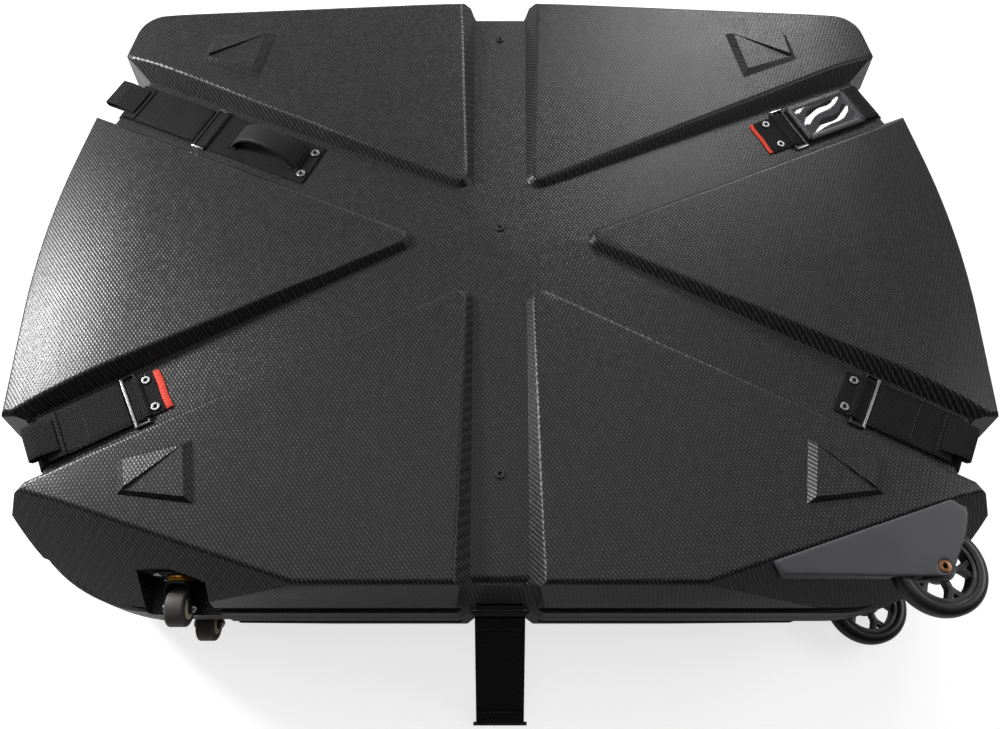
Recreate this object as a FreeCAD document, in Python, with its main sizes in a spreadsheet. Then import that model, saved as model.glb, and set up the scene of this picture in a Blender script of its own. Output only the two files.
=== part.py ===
import FreeCAD, Part
import math
import os
from types import SimpleNamespace

import Sketcher
from FreeCAD import Placement, Rotation, Vector

# A hard bike travel case lying on its base half, with the lid half on top.
# Millimetres. X runs to the right, Y to the back and Z up from the floor.
# Plan places are drawn from the point where the channels of the lid cross.

# Driving sizes: alias, value, meaning
SIZES = (
    ("rim_back", 481, "channel crossing to the back point of the rim outline"),
    ("rim_front", 497, "channel crossing to the front edge of the rim"),
    ("back_corner_x", 592, "back corner point of the rim outline"),
    ("back_corner_y", 446, "back corner point of the rim outline"),
    ("side_corner_x", 670, "widest point of the rim outline before it is rounded"),
    ("side_corner_y", 14, "widest point of the rim outline before it is rounded"),
    ("front_corner_x", 632, "front corner point of the rim outline"),
    ("back_edge_round", 2400, "radius of the back edge in plan"),
    ("back_corner_round", 58, "radius of the back corners in plan"),
    ("side_round", 1060, "radius of the sides in plan"),
    ("front_corner_round", 225, "radius of the front corners in plan"),
    ("half_depth", 141, "parting plane to the panel plane of one half"),
    ("foot_height", 9, "feet above the panel plane"),
    ("foot_slope", 11, "run of a foot's sloped sides"),
    ("foot_step", 3, "drop of the low half of a foot's face"),
    ("shell_wall", 3, "wall of the drawn shells"),
    ("panel_inset", 14, "draft of the side walls from the rim to the panel plane"),
    ("wall_setback", 2, "side wall inside the rim band"),
    ("rim_band_height", 30, "height of the rim band"),
    ("rim_groove_height", 25, "height of the groove above the rim band"),
    ("rim_groove_depth", 5, "depth of the groove inside the rim band"),
    ("crown_start", 500, "distance from the centre where the panels start to roll down"),
    ("crown_radius", 700, "radius of the roll at the sides"),
    ("panel_round", 8, "rounding of the panel edges"),
    ("channel_end_round", 12, "rounding where a channel turns down the wall"),
    ("seal_height", 5, "height of the rim seal"),
    ("seat_gap", 0.3, "gap between pieces that rest on each other"),
    ("hole_gap", 0.1, "radial gap of fasteners in their holes"),
    ("running_gap", 0.05, "radial gap of turning pieces on their axles"),
    ("overrun", 25, "how far a cut runs past the solid"),
    ("crossing_depth", 7, "channel depth at the crossing"),
    ("centre_depth", 22, "depth of the straight channel at its ends"),
    ("diagonal_depth", 28, "depth of the diagonal channels at their ends"),
    ("centre_floor", 37, "half floor width of the straight channel at the crossing"),
    ("centre_top", 43, "half top width of the straight channel at the crossing"),
    ("back_floor", 42, "half floor width of the straight channel at the back"),
    ("back_top", 62, "half top width of the straight channel at the back"),
    ("back_notch", 448, "crossing to the notch wall at the back"),
    ("front_floor", 35, "half floor width of the straight channel at the front"),
    ("front_top", 53, "half top width of the straight channel at the front"),
    ("front_notch", 476, "crossing to the notch wall at the front"),
    ("rear_angle", 24.5, "degrees from X to the rear diagonal channels"),
    ("rear_shift", 7, "sideways shift of the rear diagonal channels"),
    ("rear_floor", 48, "half floor width of the rear diagonal channels"),
    ("rear_top_inner", 54, "half top width of the rear diagonals at the crossing"),
    ("rear_top_outer", 64, "half top width of the rear diagonals at their ends"),
    ("rear_notch", 640, "crossing to the notch wall of the rear diagonals"),
    ("fore_angle", 27.4, "degrees from X to the fore diagonal channels"),
    ("fore_floor_inner", 46, "half floor width of the fore diagonals at the crossing"),
    ("fore_floor_outer", 42, "half floor width of the fore diagonals at their ends"),
    ("fore_top", 52, "half top width of the fore diagonals"),
    ("fore_notch", 664, "crossing to the notch wall of the fore diagonals"),
    ("notch_lean", 11, "lean of the notch walls from the panel plane to the rim"),
    ("facet_inner_x", 285, "inner end of the crease of the corner facet"),
    ("facet_inner_y", 465, "inner end of the crease of the corner facet"),
    ("facet_outer_x", 549, "outer end of the crease of the corner facet"),
    ("facet_outer_y", 378, "outer end of the crease of the corner facet"),
    ("facet_angle", 54.4, "degrees that the corner facet slopes down"),
    ("wheel_x", 521, "axle of the big wheels"),
    ("wheel_y", 460, "axle of the big wheels, in front of the crossing"),
    ("wheel_level", 110, "middle of a big wheel above the parting plane"),
    ("wheel_radius", 56, "big wheel with its tyre"),
    ("wheel_width", 26, "width of the tyre"),
    ("tyre_depth", 14, "radial depth of the tyre"),
    ("tyre_shoulder", 7, "rounding of the tyre's shoulders"),
    ("well_gap", 6, "clearance of the wheel in its well"),
    ("hub_width", 20, "width of the wheel hub"),
    ("hub_rim", 6, "radial depth of the hub's rim"),
    ("hub_boss", 16, "radius of the hub's boss"),
    ("spoke_width", 6, "width of a spoke"),
    ("spoke_depth", 12, "depth of a spoke along the axle"),
    ("axle_radius", 4, "radius of the axle bolt"),
    ("axle_head", 7.5, "radius of the axle bolt's head"),
    ("axle_head_height", 3, "height of the axle bolt's head"),
    ("axle_nut_radius", 7.5, "corner radius of the axle nut"),
    ("axle_nut_height", 6, "height of the axle nut"),
    ("sleeve_radius", 6.5, "radius of the axle sleeves"),
    ("bearing_radius", 11, "outer radius of the wheel bearings"),
    ("bearing_width", 7, "width of a wheel bearing"),
    ("guard_plate", 4, "plate of the wheel guard"),
    ("guard_skirt", 30, "depth of the wheel guard's skirt"),
    ("guard_angle", 10, "degrees that the wheel guard slopes down"),
    ("guard_gap", 1.2, "gap between the wheel guard and the wheel"),
    ("caster_x", 398, "swivel axis of the casters, left of the crossing"),
    ("caster_level", 59, "swivel axis above the parting plane"),
    ("recess_face", 455, "mounting face of the caster recess"),
    ("recess_half_width", 46, "caster recess to each side of the swivel axis"),
    ("recess_half_height", 43, "caster recess above and below the swivel axis"),
    ("caster_plate_width", 58, "caster plate along X"),
    ("caster_plate_height", 46, "caster plate along Z"),
    ("caster_plate_thickness", 3, "thickness of the caster plate"),
    ("caster_screw_spacing", 44, "distance between the caster screws"),
    ("race_radius", 16, "radius of the swivel race"),
    ("race_height", 7, "height of the swivel race"),
    ("fork_crown", 3, "thickness of the fork crown"),
    ("fork_leg", 3, "thickness of a fork leg"),
    ("fork_width", 24, "width of the fork legs at the crown"),
    ("fork_end", 8, "radius of the fork legs at the axle"),
    ("caster_drop", 38, "mounting face to the caster's wheel axle"),
    ("caster_trail", 14, "offset of the wheel axle from the swivel axis"),
    ("caster_radius", 23, "radius of the caster wheel"),
    ("caster_width", 24, "width of the caster wheel"),
    ("caster_side_gap", 1, "gap between the caster wheel and a fork leg"),
    ("core_radius", 14, "radius of the caster wheel's core"),
    ("core_lip", 0.6, "core standing proud of the tread at each side"),
    ("caster_axle_radius", 3, "radius of the caster axle"),
    ("caster_nut_height", 4, "height of the caster axle's head and nut"),
    ("caster_nut_radius", 6, "radius of the caster axle's head and nut"),
    ("strap_width", 66, "width of the closing straps"),
    ("webbing", 2.2, "thickness of the webbing"),
    ("flap_thickness", 2.4, "thickness of a flap"),
    ("ring_length", 80, "strap ring across the strap"),
    ("front_ring_length", 76, "front strap's ring across the strap"),
    ("ring_width", 22, "strap ring along the strap"),
    ("ring_wire", 4, "thickness of the strap rings"),
    ("fold_gap", 1.2, "gap where webbing folds round a ring"),
    ("rear_ring", 490, "crossing to the rear strap rings"),
    ("fore_ring", 532, "crossing to the fore strap rings"),
    ("rear_tab", 35, "length of the rear anchor tabs"),
    ("fore_tab", 21, "length of the fore anchor tabs"),
    ("tab_width", 62, "width of the anchor tabs"),
    ("tab_thickness", 2.4, "thickness of the anchor tabs"),
    ("rear_flap", 132, "length of the rear flaps"),
    ("fore_flap", 108, "length of the fore flaps"),
    ("strap_tail", 60, "strap down the wall of the base"),
    ("anchor_plate", 26, "height of the anchor plates on the base"),
    ("pull_tab_length", 10, "pull tab along the strap"),
    ("pull_tab_thickness", 1.6, "thickness of a pull tab"),
    ("rivet_spacing", 42, "distance between the two rivets of a tab"),
    ("rivet_radius", 2.5, "shank of a rivet"),
    ("rivet_head", 6, "radius of a rivet's head"),
    ("rivet_head_height", 2, "height of a rivet's head"),
    ("screw_radius", 3, "shank of the channel and plate screws"),
    ("screw_head", 6, "radius of a screw's head"),
    ("screw_head_height", 2.4, "height of a screw's head"),
    ("nut_height", 5, "height of the nuts inside the channels"),
    ("nut_radius", 6, "corner radius of the nuts inside the channels"),
    ("back_screw", 398, "crossing to the screw in the back of the straight channel"),
    ("middle_screw", 16, "crossing to the middle screw of the straight channel"),
    ("front_screw", 346, "crossing to the screw in the front of the straight channel"),
    ("tie_length", 170, "length of a tie strap inside"),
    ("tie_margin", 20, "tie strap past its screw"),
    ("tie_width", 25, "width of a tie strap inside"),
    ("handle_plate_length", 172, "length of the handle's plate"),
    ("handle_plate_width", 72, "width of the handle's plate"),
    ("handle_span", 116, "length of the handle's arch"),
    ("handle_rise", 32, "height of the handle's arch"),
    ("handle_width", 34, "width of the handle's strap"),
    ("handle_thickness", 5, "thickness of the handle's strap"),
    ("handle_margin", 21, "handle's arch from the end of its plate"),
    ("handle_screw_margin", 10, "handle's screws from the end of its plate"),
    ("window_length", 106, "name window along the flap"),
    ("window_width", 70, "name window across the flap"),
    ("window_border", 8, "border of the name window's frame"),
    ("window_frame_thickness", 1.8, "thickness of the name window's frame"),
    ("window_pane_thickness", 1, "thickness of the name window's pane"),
    ("window_margin", 2, "name window from the fold of its flap"),
    ("front_tab_width", 60, "width of the front strap's tab"),
    ("front_tab_length", 24, "length of the front strap's tab"),
    ("front_ring_width", 14, "front strap's ring along the strap"),
    ("front_strap_width", 66, "width of the front strap"),
    ("front_strap_length", 182, "length of the front strap"),
    ("front_bar_radius", 2.5, "radius of the bar at the end of the front strap"),
    ("front_bar_length", 74, "length of the bar at the end of the front strap"),
    ("foam_thickness", 20, "thickness of the foam liners"),
)

# Corners of the feet, as shares of the widest point and of the rim's reach to the back or front
REAR_FOOT_SHARES = ((0.537, 0.809), (0.687, 0.807), (0.701, 0.692), (0.564, 0.613))
FORE_FOOT_SHARES = ((0.567, 0.614), (0.701, 0.666), (0.691, 0.761), (0.545, 0.785))
# Corners of the wheel guard, as shares of the widest point and of the rim's reach to the front
GUARD_SHARES = (
    (0.4706, 0.9171),
    (0.8067, 0.7677),
    (0.8336, 0.7884),
    (0.8360, 0.8060),
    (0.8251, 0.8562),
    (0.7939, 0.9344),
    (0.7848, 0.9503),
    (0.4909, 0.9503),
)
# How fast a notch widens outwards
BACK_FLARE_SHARE = 0.4
FRONT_FLARE_SHARE = 1.6
REAR_FLARE_SHARE = 0.35
FORE_FLARE_SHARE = 0.55
# How far the top of the cavity draws in behind the rounded panel edge
CAVITY_ROUND_SHARE = 0.6
# Half lengths of a hub spoke's stem, from the boss to the rim
SPOKE_FORK_SHARE = 0.45
HUB_SPOKES = 5
HEX_SIDES = 6

doc = FreeCAD.newDocument("bike_travel_case")
sheet = doc.addObject("Spreadsheet::Sheet", "sizes")
for row, (alias, value, meaning) in enumerate(SIZES, start=1):
    sheet.set(f"A{row}", meaning)
    sheet.set(f"B{row}", str(value))
    sheet.setAlias(f"B{row}", alias)
doc.recompute()
size = SimpleNamespace(**{alias: float(sheet.get(alias)) for alias, _, _ in SIZES})

X_AXIS = Vector(1, 0, 0)
Y_AXIS = Vector(0, 1, 0)
Z_AXIS = Vector(0, 0, 1)
LEFT, RIGHT = -1, 1
parting_z = size.foot_height + size.half_depth
parting_point = Vector(0, 0, parting_z)
nodes = {}


# Helpers for document objects

def keep(label, item, placement=None):
    """Name a finished sub-part and put it in its place."""
    item.Label = label
    if placement is not None:
        item.Placement = placement
    nodes[label] = item
    return item


def shape_node(label, shape):
    """A sub-part whose solid is worked out by the functions below, in place."""
    item = doc.addObject("Part::Feature", label)
    item.Shape = shape
    return keep(label, item)


def mirrored_node(label, source):
    """The base half's twin of a sub-part of the lid."""
    return shape_node(label, nodes[source].Shape.mirror(parting_point, Z_AXIS))


def box_node(label, length, width, height, placement):
    """A plain block whose three sizes are expressions."""
    item = doc.addObject("Part::Box", label)
    item.setExpression("Length", length)
    item.setExpression("Width", width)
    item.setExpression("Height", height)
    return keep(label, item, placement)


def polygon_sketch(body, role, points):
    """A closed polygon on a body's own plane, each corner held by two expressions."""
    sketch = body.newObject("Sketcher::SketchObject", body.Name + "_profile")
    plane = next(item for item in body.Origin.OriginFeatures if item.Role == role)
    sketch.AttachmentSupport = (plane, [""])
    sketch.MapMode = "FlatFace"
    places = [tuple(float(sheet.evalExpression(text)) for text in point) for point in points]
    count = len(points)
    for index, start in enumerate(places):
        end = places[(index + 1) % count]
        sketch.addGeometry(Part.LineSegment(Vector(*start, 0), Vector(*end, 0)), False)
    for index in range(count):
        sketch.addConstraint(Sketcher.Constraint("Coincident", index, 2, (index + 1) % count, 1))
    for index, point in enumerate(points):
        for kind, axis, text, place in zip(("DistanceX", "DistanceY"), (-2, -1), point, places[index]):
            if place == 0:
                sketch.addConstraint(Sketcher.Constraint("PointOnObject", index, 1, axis))
            else:
                number = sketch.addConstraint(Sketcher.Constraint(kind, -1, 1, index, 1, place))
                sketch.setExpression(f"Constraints[{number}]", text)
    return sketch


def turned_body(name, profile):
    """A body turned about its own Z axis from (radius, height) corners."""
    body = doc.addObject("PartDesign::Body", name)
    sketch = polygon_sketch(body, "XZ_Plane", profile)
    turning = body.newObject("PartDesign::Revolution", name + "_turning")
    turning.Profile = sketch
    turning.ReferenceAxis = (sketch, ["V_Axis"])
    turning.Angle = 360
    doc.recompute()
    return body


def group_node(label, pattern, places):
    """Identical small pieces as separate solids of one sub-part."""
    copies = []
    for place in places:
        copy = pattern.Shape.copy()
        copy.Placement = place.multiply(pattern.Placement)
        copies.append(copy)
    return shape_node(label, Part.makeCompound(copies))


# Helpers for shapes

def shift(x=0, y=0, z=0):
    return Placement(Vector(x, y, z), Rotation())


def rounded_ends(before, corner, after, radius):
    """Start, middle and end of the arc that rounds a corner."""
    to_before = (before - corner).normalize()
    to_after = (after - corner).normalize()
    opening = to_before.getAngle(to_after)
    middle_way = (to_before + to_after).normalize()
    reach = radius / math.tan(opening / 2)
    centre = corner + middle_way * (radius / math.sin(opening / 2))
    return corner + to_before * reach, centre - middle_way * radius, corner + to_after * reach


def rounded_outline(corners):
    """A closed wire of lines and tangent arcs from (point, radius) corners."""
    count = len(corners)
    arcs = []
    for index, (point, radius) in enumerate(corners):
        before = corners[index - 1][0]
        after = corners[(index + 1) % count][0]
        arcs.append(rounded_ends(before, point, after, radius))
    edges = []
    for index, (start, middle, end) in enumerate(arcs):
        edges.append(Part.Arc(start, middle, end).toShape())
        edges.append(Part.LineSegment(end, arcs[(index + 1) % count][0]).toShape())
    return Part.Wire(edges)


def rounded_path(points, radii):
    """Edges of an open path of lines, with its inner points rounded."""
    edges = []
    last = points[0]
    for index, radius in enumerate(radii, start=1):
        start, middle, end = rounded_ends(points[index - 1], points[index], points[index + 1], radius)
        edges.append(Part.LineSegment(last, start).toShape())
        edges.append(Part.Arc(start, middle, end).toShape())
        last = end
    edges.append(Part.LineSegment(last, points[-1]).toShape())
    return edges


def closed_polygon(points):
    return Part.makePolygon(list(points) + [points[0]])


def prism(wire, height):
    return Part.Face(wire).extrude(Vector(0, 0, height))


def block(length, width, height, corner):
    return Part.makeBox(length, width, height, corner)


def hexagon(radius, height, bore):
    """A nut standing on its own XY plane."""
    corners = [Rotation(Z_AXIS, 360 / HEX_SIDES * turn).multVec(X_AXIS * radius) for turn in range(HEX_SIDES)]
    nut = prism(closed_polygon(corners), height)
    return nut.cut(Part.makeCylinder(bore, height))


def placed(shape, placement):
    copy = shape.copy()
    copy.Placement = placement.multiply(shape.Placement)
    return copy


def mirrored_x(point):
    return Vector(-point.x, point.y, point.z)


# Plan outline of the rim

def rim_outline(inset, level):
    """The rim outline drawn in by an inset, at a level above the parting plane."""
    right = [
        (Vector(size.back_corner_x, size.back_corner_y, 0), size.back_corner_round),
        (Vector(size.side_corner_x, size.side_corner_y, 0), size.side_round),
        (Vector(size.front_corner_x, -size.rim_front, 0), size.front_corner_round),
    ]
    left = [(mirrored_x(point), radius) for point, radius in reversed(right)]
    wire = rounded_outline([(Vector(0, size.rim_back, 0), size.back_edge_round)] + right + left)
    if inset:
        wire = wire.makeOffset2D(-inset)
    wire.translate(Vector(0, 0, level))
    return wire


# The six channels, as spokes from the crossing

def make_channel(angle, sideways, floors, tops, depth, notch, flare):
    slope = math.degrees(math.atan2(depth - size.crossing_depth, notch))
    return SimpleNamespace(
        angle=angle, sideways=sideways, floors=floors, tops=tops, depth=depth, notch=notch, flare=flare,
        slope=slope,
    )


rear_floors = (size.rear_floor, size.rear_floor)
rear_tops = (size.rear_top_inner, size.rear_top_outer)
fore_floors = (size.fore_floor_inner, size.fore_floor_outer)
fore_tops = (size.fore_top, size.fore_top)
rear_values = (rear_floors, rear_tops, size.diagonal_depth, size.rear_notch, REAR_FLARE_SHARE)
fore_values = (fore_floors, fore_tops, size.diagonal_depth, size.fore_notch, FORE_FLARE_SHARE)
channels = {
    "back": make_channel(
        90, 0, (size.centre_floor, size.back_floor), (size.centre_top, size.back_top),
        size.centre_depth, size.back_notch, BACK_FLARE_SHARE,
    ),
    "front": make_channel(
        -90, 0, (size.centre_floor, size.front_floor), (size.centre_top, size.front_top),
        size.centre_depth, size.front_notch, FRONT_FLARE_SHARE,
    ),
    "back_right": make_channel(size.rear_angle, size.rear_shift, *rear_values),
    "back_left": make_channel(180 - size.rear_angle, -size.rear_shift, *rear_values),
    "front_right": make_channel(-size.fore_angle, 0, *fore_values),
    "front_left": make_channel(180 + size.fore_angle, 0, *fore_values),
}
STRAP_NAMES = ("back_left", "back_right", "front_left", "front_right")


def channel_frame(channel, level):
    """X outwards along the channel, Z up, at a level."""
    turn = Placement(Vector(0, 0, level), Rotation(Z_AXIS, channel.angle))
    return turn.multiply(shift(y=channel.sideways))


def floor_frame(channel):
    """X outwards along the floor of a channel of the lid, Z off the floor."""
    slope = Placement(Vector(0, 0, size.half_depth - size.crossing_depth), Rotation(Y_AXIS, channel.slope))
    return channel_frame(channel, parting_z).multiply(slope)


def notch_frame(channel, half):
    """X down a notch wall from the parting plane, Z off the wall; half is 1 on the lid, -1 on the base."""
    lean = math.degrees(math.atan2(size.notch_lean, size.half_depth))
    tilt = Placement(Vector(channel.notch + size.notch_lean, 0, 0), Rotation(Y_AXIS, 90 - half * lean))
    return channel_frame(channel, parting_z).multiply(tilt)


# Cutting tools of a half shell, with Z from its parting plane; grow swells a tool for the cavity

def channel_tool(channel, grow):
    """The space of one channel above its sloping floor, and its notch down the wall."""
    run = channel.notch + size.side_round

    def cross_section(reach):
        share = reach / channel.notch
        floor = channel.floors[0] + (channel.floors[1] - channel.floors[0]) * share + grow
        top = channel.tops[0] + (channel.tops[1] - channel.tops[0]) * share + grow
        depth = size.crossing_depth + (channel.depth - size.crossing_depth) * share
        low = size.half_depth - depth - grow
        high = size.half_depth + size.overrun
        wide = top + (top - floor) * size.overrun / depth
        corners = ((-floor, low), (floor, low), (wide, high), (-wide, high))
        return closed_polygon([Vector(reach, side, level) for side, level in corners])

    def notch_plan(level, face):
        floor = channel.floors[1] + grow
        wide = floor + (run - face) * channel.flare
        corners = ((face, -floor), (run, -wide), (run, wide), (face, floor))
        return closed_polygon([Vector(reach, side, level) for reach, side in corners])

    face = channel.notch - grow
    low_face = face + size.notch_lean * (size.half_depth + size.overrun) / size.half_depth
    high_face = face - size.notch_lean * size.overrun / size.half_depth
    space = Part.makeLoft([cross_section(0), cross_section(run)], True, True)
    notch = Part.makeLoft(
        [notch_plan(-size.overrun, low_face), notch_plan(size.half_depth + size.overrun, high_face)], True, True
    )
    return placed(space.fuse(notch), channel_frame(channel, 0))


def facet_tool(side, angle, grow):
    """The wedge of space above a slope that starts at the crease of a front corner facet."""
    inner = Vector(side * size.facet_inner_x, -size.facet_inner_y, size.half_depth)
    outer = Vector(side * size.facet_outer_x, -size.facet_outer_y, size.half_depth)
    along = (outer - inner).normalize()
    out = Vector(side * along.y, -side * along.x, 0)
    down = math.tan(math.radians(angle))
    back = grow / math.sin(math.radians(angle))
    reach = size.front_corner_round
    middle = (inner + outer) * 0.5 - along * reach * 2
    corners = ((-size.overrun / down, size.overrun), (reach, -reach * down), (reach, size.overrun))
    wire = closed_polygon([middle + out * (run - back) + Vector(0, 0, rise) for run, rise in corners])
    return Part.Face(wire).extrude(along * reach * 4)


def well_tool(grow):
    """The well of the big wheel."""
    low = size.wheel_level - size.wheel_width / 2 - size.well_gap - grow
    radius = size.wheel_radius + size.well_gap + grow
    height = size.half_depth + size.overrun - low
    return Part.makeCylinder(radius, height, Vector(size.wheel_x, -size.wheel_y, low))


def recess_tool(grow):
    """The recess of the caster."""
    half_width = size.recess_half_width + grow
    half_height = size.recess_half_height + grow
    depth = size.rim_front - size.recess_face + grow + size.overrun
    corner = Vector(-size.caster_x - half_width, -size.rim_front - size.overrun, size.caster_level - half_height)
    return block(2 * half_width, depth, 2 * half_height, corner)


def crown_solid(drop):
    """All that lies under the panel plane, rolled down towards both sides."""
    reach = size.side_corner_x + size.overrun
    level = size.half_depth - drop
    radius = size.crown_radius - drop
    swing = math.asin((reach - size.crown_start) / radius)

    def on_roll(side, angle):
        x = size.crown_start + radius * math.sin(angle)
        return Vector(side * x, 0, level - radius * (1 - math.cos(angle)))

    points = [on_roll(LEFT, 0), on_roll(RIGHT, 0)]
    low_right = Vector(reach, 0, -size.overrun)
    edges = [Part.LineSegment(*points).toShape()]
    edges.append(Part.Arc(on_roll(RIGHT, 0), on_roll(RIGHT, swing / 2), on_roll(RIGHT, swing)).toShape())
    edges.append(Part.LineSegment(on_roll(RIGHT, swing), low_right).toShape())
    edges.append(Part.LineSegment(low_right, mirrored_x(low_right)).toShape())
    edges.append(Part.LineSegment(mirrored_x(low_right), on_roll(LEFT, swing)).toShape())
    edges.append(Part.Arc(on_roll(LEFT, swing), on_roll(LEFT, swing / 2), on_roll(LEFT, 0)).toShape())
    half_run = size.rim_front + size.overrun
    solid = Part.Face(Part.Wire(edges)).extrude(Vector(0, 2 * half_run, 0))
    solid.translate(Vector(0, -half_run, 0))
    return solid


def middle_normal(face):
    first_u, last_u, first_v, last_v = face.ParameterRange
    return face.normalAt((first_u + last_u) / 2, (first_v + last_v) / 2)


def panel_loops(solid):
    """The edge loop round each raised panel."""
    roll = size.crown_radius - math.sqrt(size.crown_radius ** 2 - (size.side_corner_x - size.crown_start) ** 2)
    counts = {}
    for face in solid.Faces:
        steep = middle_normal(face).z < math.cos(math.radians(size.rear_angle / 2))
        if steep or face.BoundBox.ZMax < size.half_depth - size.running_gap:
            continue
        if face.BoundBox.ZMin < size.half_depth - roll:
            continue
        for edge in face.Edges:
            counts.setdefault(edge.hashCode(), []).append(edge)
    waiting = [found[0] for found in counts.values() if len(found) == 1]
    loops = []
    while waiting:
        loop = [waiting.pop()]
        for edge in loop:
            ends = [vertex.Point for vertex in edge.Vertexes]
            for other in list(waiting):
                if any(vertex.Point.isEqual(end, size.running_gap) for vertex in other.Vertexes for end in ends):
                    loop.append(other)
                    waiting.remove(other)
        loops.append(loop)
    return loops


def loop_middle(loop):
    return sum([edge.CenterOfMass for edge in loop], Vector()) * (1 / len(loop))


def channel_end_edges(solid):
    """The edges where the channel floors turn down into the notches."""
    found = []
    for channel in channels.values():
        frame = channel_frame(channel, 0).inverse()
        for edge in solid.Edges:
            ends = [frame.multVec(vertex.Point) for vertex in edge.Vertexes]
            across = len(ends) == 2 and abs(ends[0].x - ends[1].x) < size.running_gap
            level = abs(ends[0].z - size.half_depth + channel.depth) < size.crossing_depth
            near = abs(ends[0].x - channel.notch) < size.notch_lean
            wide = edge.Length > channel.floors[1]
            if across and level and near and wide:
                found.append(edge)
    return found


def foot(shares, reach, side):
    """A raised foot with sloped sides and a stepped face."""
    corners = [Vector(side * x * size.side_corner_x, y * reach, 0) for x, y in shares]
    middle = sum(corners, Vector()) * (1 / len(corners))
    low = closed_polygon([point + Vector(0, 0, size.half_depth - size.shell_wall / 2) for point in corners])
    drawn_in = []
    for point in corners:
        inward = (middle - point).normalize() * size.foot_slope * math.sqrt(2)
        drawn_in.append(point + inward + Vector(0, 0, size.half_depth + size.foot_height))
    solid = Part.makeLoft([low, closed_polygon(drawn_in)], True, True)
    first, outer, second = drawn_in[0], drawn_in[1], drawn_in[2]
    along = (second - first).normalize()
    away = outer - first
    away = (away - along * away.dot(along)).normalize()
    drop = Vector(0, 0, size.foot_step)
    far = away * size.side_corner_x
    start = first - along * size.overrun
    step = closed_polygon([start, start + far, start + far - drop * far.Length / away.dot(outer - first)])
    return solid.cut(Part.Face(step).extrude(along * ((second - first).Length + 2 * size.overrun)))


def half_tools(grow):
    """All cutting tools of a half shell."""
    tools = [channel_tool(channel, grow) for channel in channels.values()]
    return tools + [facet_tool(side, size.facet_angle, grow) for side in (LEFT, RIGHT)]


def half_outside():
    """The outside of a half shell as one solid, standing on its parting plane."""
    groove_level = size.rim_band_height
    wall_level = groove_level + size.rim_groove_height
    band = prism(rim_outline(0, 0), groove_level)
    groove = prism(rim_outline(size.rim_groove_depth, groove_level), size.rim_groove_height)
    wall_lines = [rim_outline(size.wall_setback, wall_level), rim_outline(size.panel_inset, size.half_depth)]
    wall = Part.makeLoft(wall_lines, True, True)
    solid = band.fuse([groove, wall]).removeSplitter().common(crown_solid(0)).cut(half_tools(0))
    solid = solid.makeFillet(size.channel_end_round, channel_end_edges(solid))
    for middle in [loop_middle(loop) for loop in panel_loops(solid)]:
        nearest = min(panel_loops(solid), key=lambda loop: (loop_middle(loop) - middle).Length)
        solid = solid.makeFillet(size.panel_round, nearest)
    feet = []
    for side in (LEFT, RIGHT):
        feet.append(foot(REAR_FOOT_SHARES, size.rim_back, side))
        feet.append(foot(FORE_FOOT_SHARES, -size.rim_front, side))
    return solid.fuse(feet).cut([well_tool(0), recess_tool(0)])


def half_cavity(grow):
    """The space inside a half shell, grow being the wall round it."""
    draw_in = size.panel_inset + grow + size.panel_round * CAVITY_ROUND_SHARE
    lines = [
        rim_outline(size.rim_groove_depth + grow, -size.overrun),
        rim_outline(size.rim_groove_depth + grow, size.rim_band_height + size.rim_groove_height),
        rim_outline(draw_in, size.half_depth),
    ]
    space = Part.makeLoft(lines, True, True).common(crown_solid(grow)).cut(half_tools(grow))
    end_round = max(size.channel_end_round - grow, size.seat_gap)
    space = space.makeFillet(end_round, channel_end_edges(space))
    return space.cut([well_tool(grow), recess_tool(grow)])


def level_slab(low, high):
    """A slab between two levels, wider than the case."""
    reach = size.side_corner_x + size.rim_front
    return block(2 * reach, 2 * reach, high - low, Vector(-reach, -reach, low))


# Places of the fasteners on the lid, each with Z out of the surface

def on_floor(name, reach, sideways=0, lift=0):
    """A place on a channel floor of the lid, at a distance from the crossing."""
    channel = channels[name]
    along = reach / math.cos(math.radians(channel.slope))
    return floor_frame(channel).multiply(shift(along, sideways, lift))


def tab_start(name):
    """The ring's reach, the tab's length and the tab's inner end in a strap's channel."""
    rear = name.startswith("back")
    ring = size.rear_ring if rear else size.fore_ring
    length = size.rear_tab if rear else size.fore_tab
    return ring, length, ring - size.ring_width / 2 - length


def caster_frame(half):
    """X to the right, Y up and Z forwards out of a caster recess."""
    place = Vector(-size.caster_x, -size.recess_face, parting_z + half * size.caster_level)
    return Placement(place, Rotation(X_AXIS, 90))


def wheel_frame(half):
    """The middle of a big wheel, with Z out of the case."""
    place = Vector(size.wheel_x, -size.wheel_y, parting_z + half * size.wheel_level)
    return Placement(place, Rotation(X_AXIS, 0 if half > 0 else 180))


PAIR = (LEFT, RIGHT)
HALVES = (("lid", 1), ("base", -1))
tabbed = ("back_right", "front_left", "front_right")
rivet_places = []
for name in tabbed:
    ring, length, start = tab_start(name)
    for side in PAIR:
        rivet_places.append(on_floor(name, start + length / 2, side * size.rivet_spacing / 2, size.tab_thickness))
anchor_level = size.strap_tail + size.fold_gap + size.anchor_plate / 2
base_rivet_places = []
for name in STRAP_NAMES:
    for side in PAIR:
        place = shift(anchor_level, side * size.rivet_spacing / 2, size.tab_thickness)
        base_rivet_places.append(notch_frame(channels[name], -1).multiply(place))
outer_screw_places = [on_floor("back", size.back_screw), on_floor("front", size.front_screw)]
middle_screw_place = on_floor("back", size.middle_screw)
channel_screw_places = outer_screw_places + [middle_screw_place]
handle_ring, _, _ = tab_start("back_left")
handle_start = handle_ring - size.ring_width / 2 - size.handle_plate_length
handle_screw_places = []
for side in PAIR:
    reach = handle_start + size.handle_screw_margin
    handle_screw_places.append(on_floor("back_left", reach, side * size.rivet_spacing / 2, size.tab_thickness))
caster_screw_rise = size.caster_plate_height / 2 - size.screw_head - size.core_lip
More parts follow.
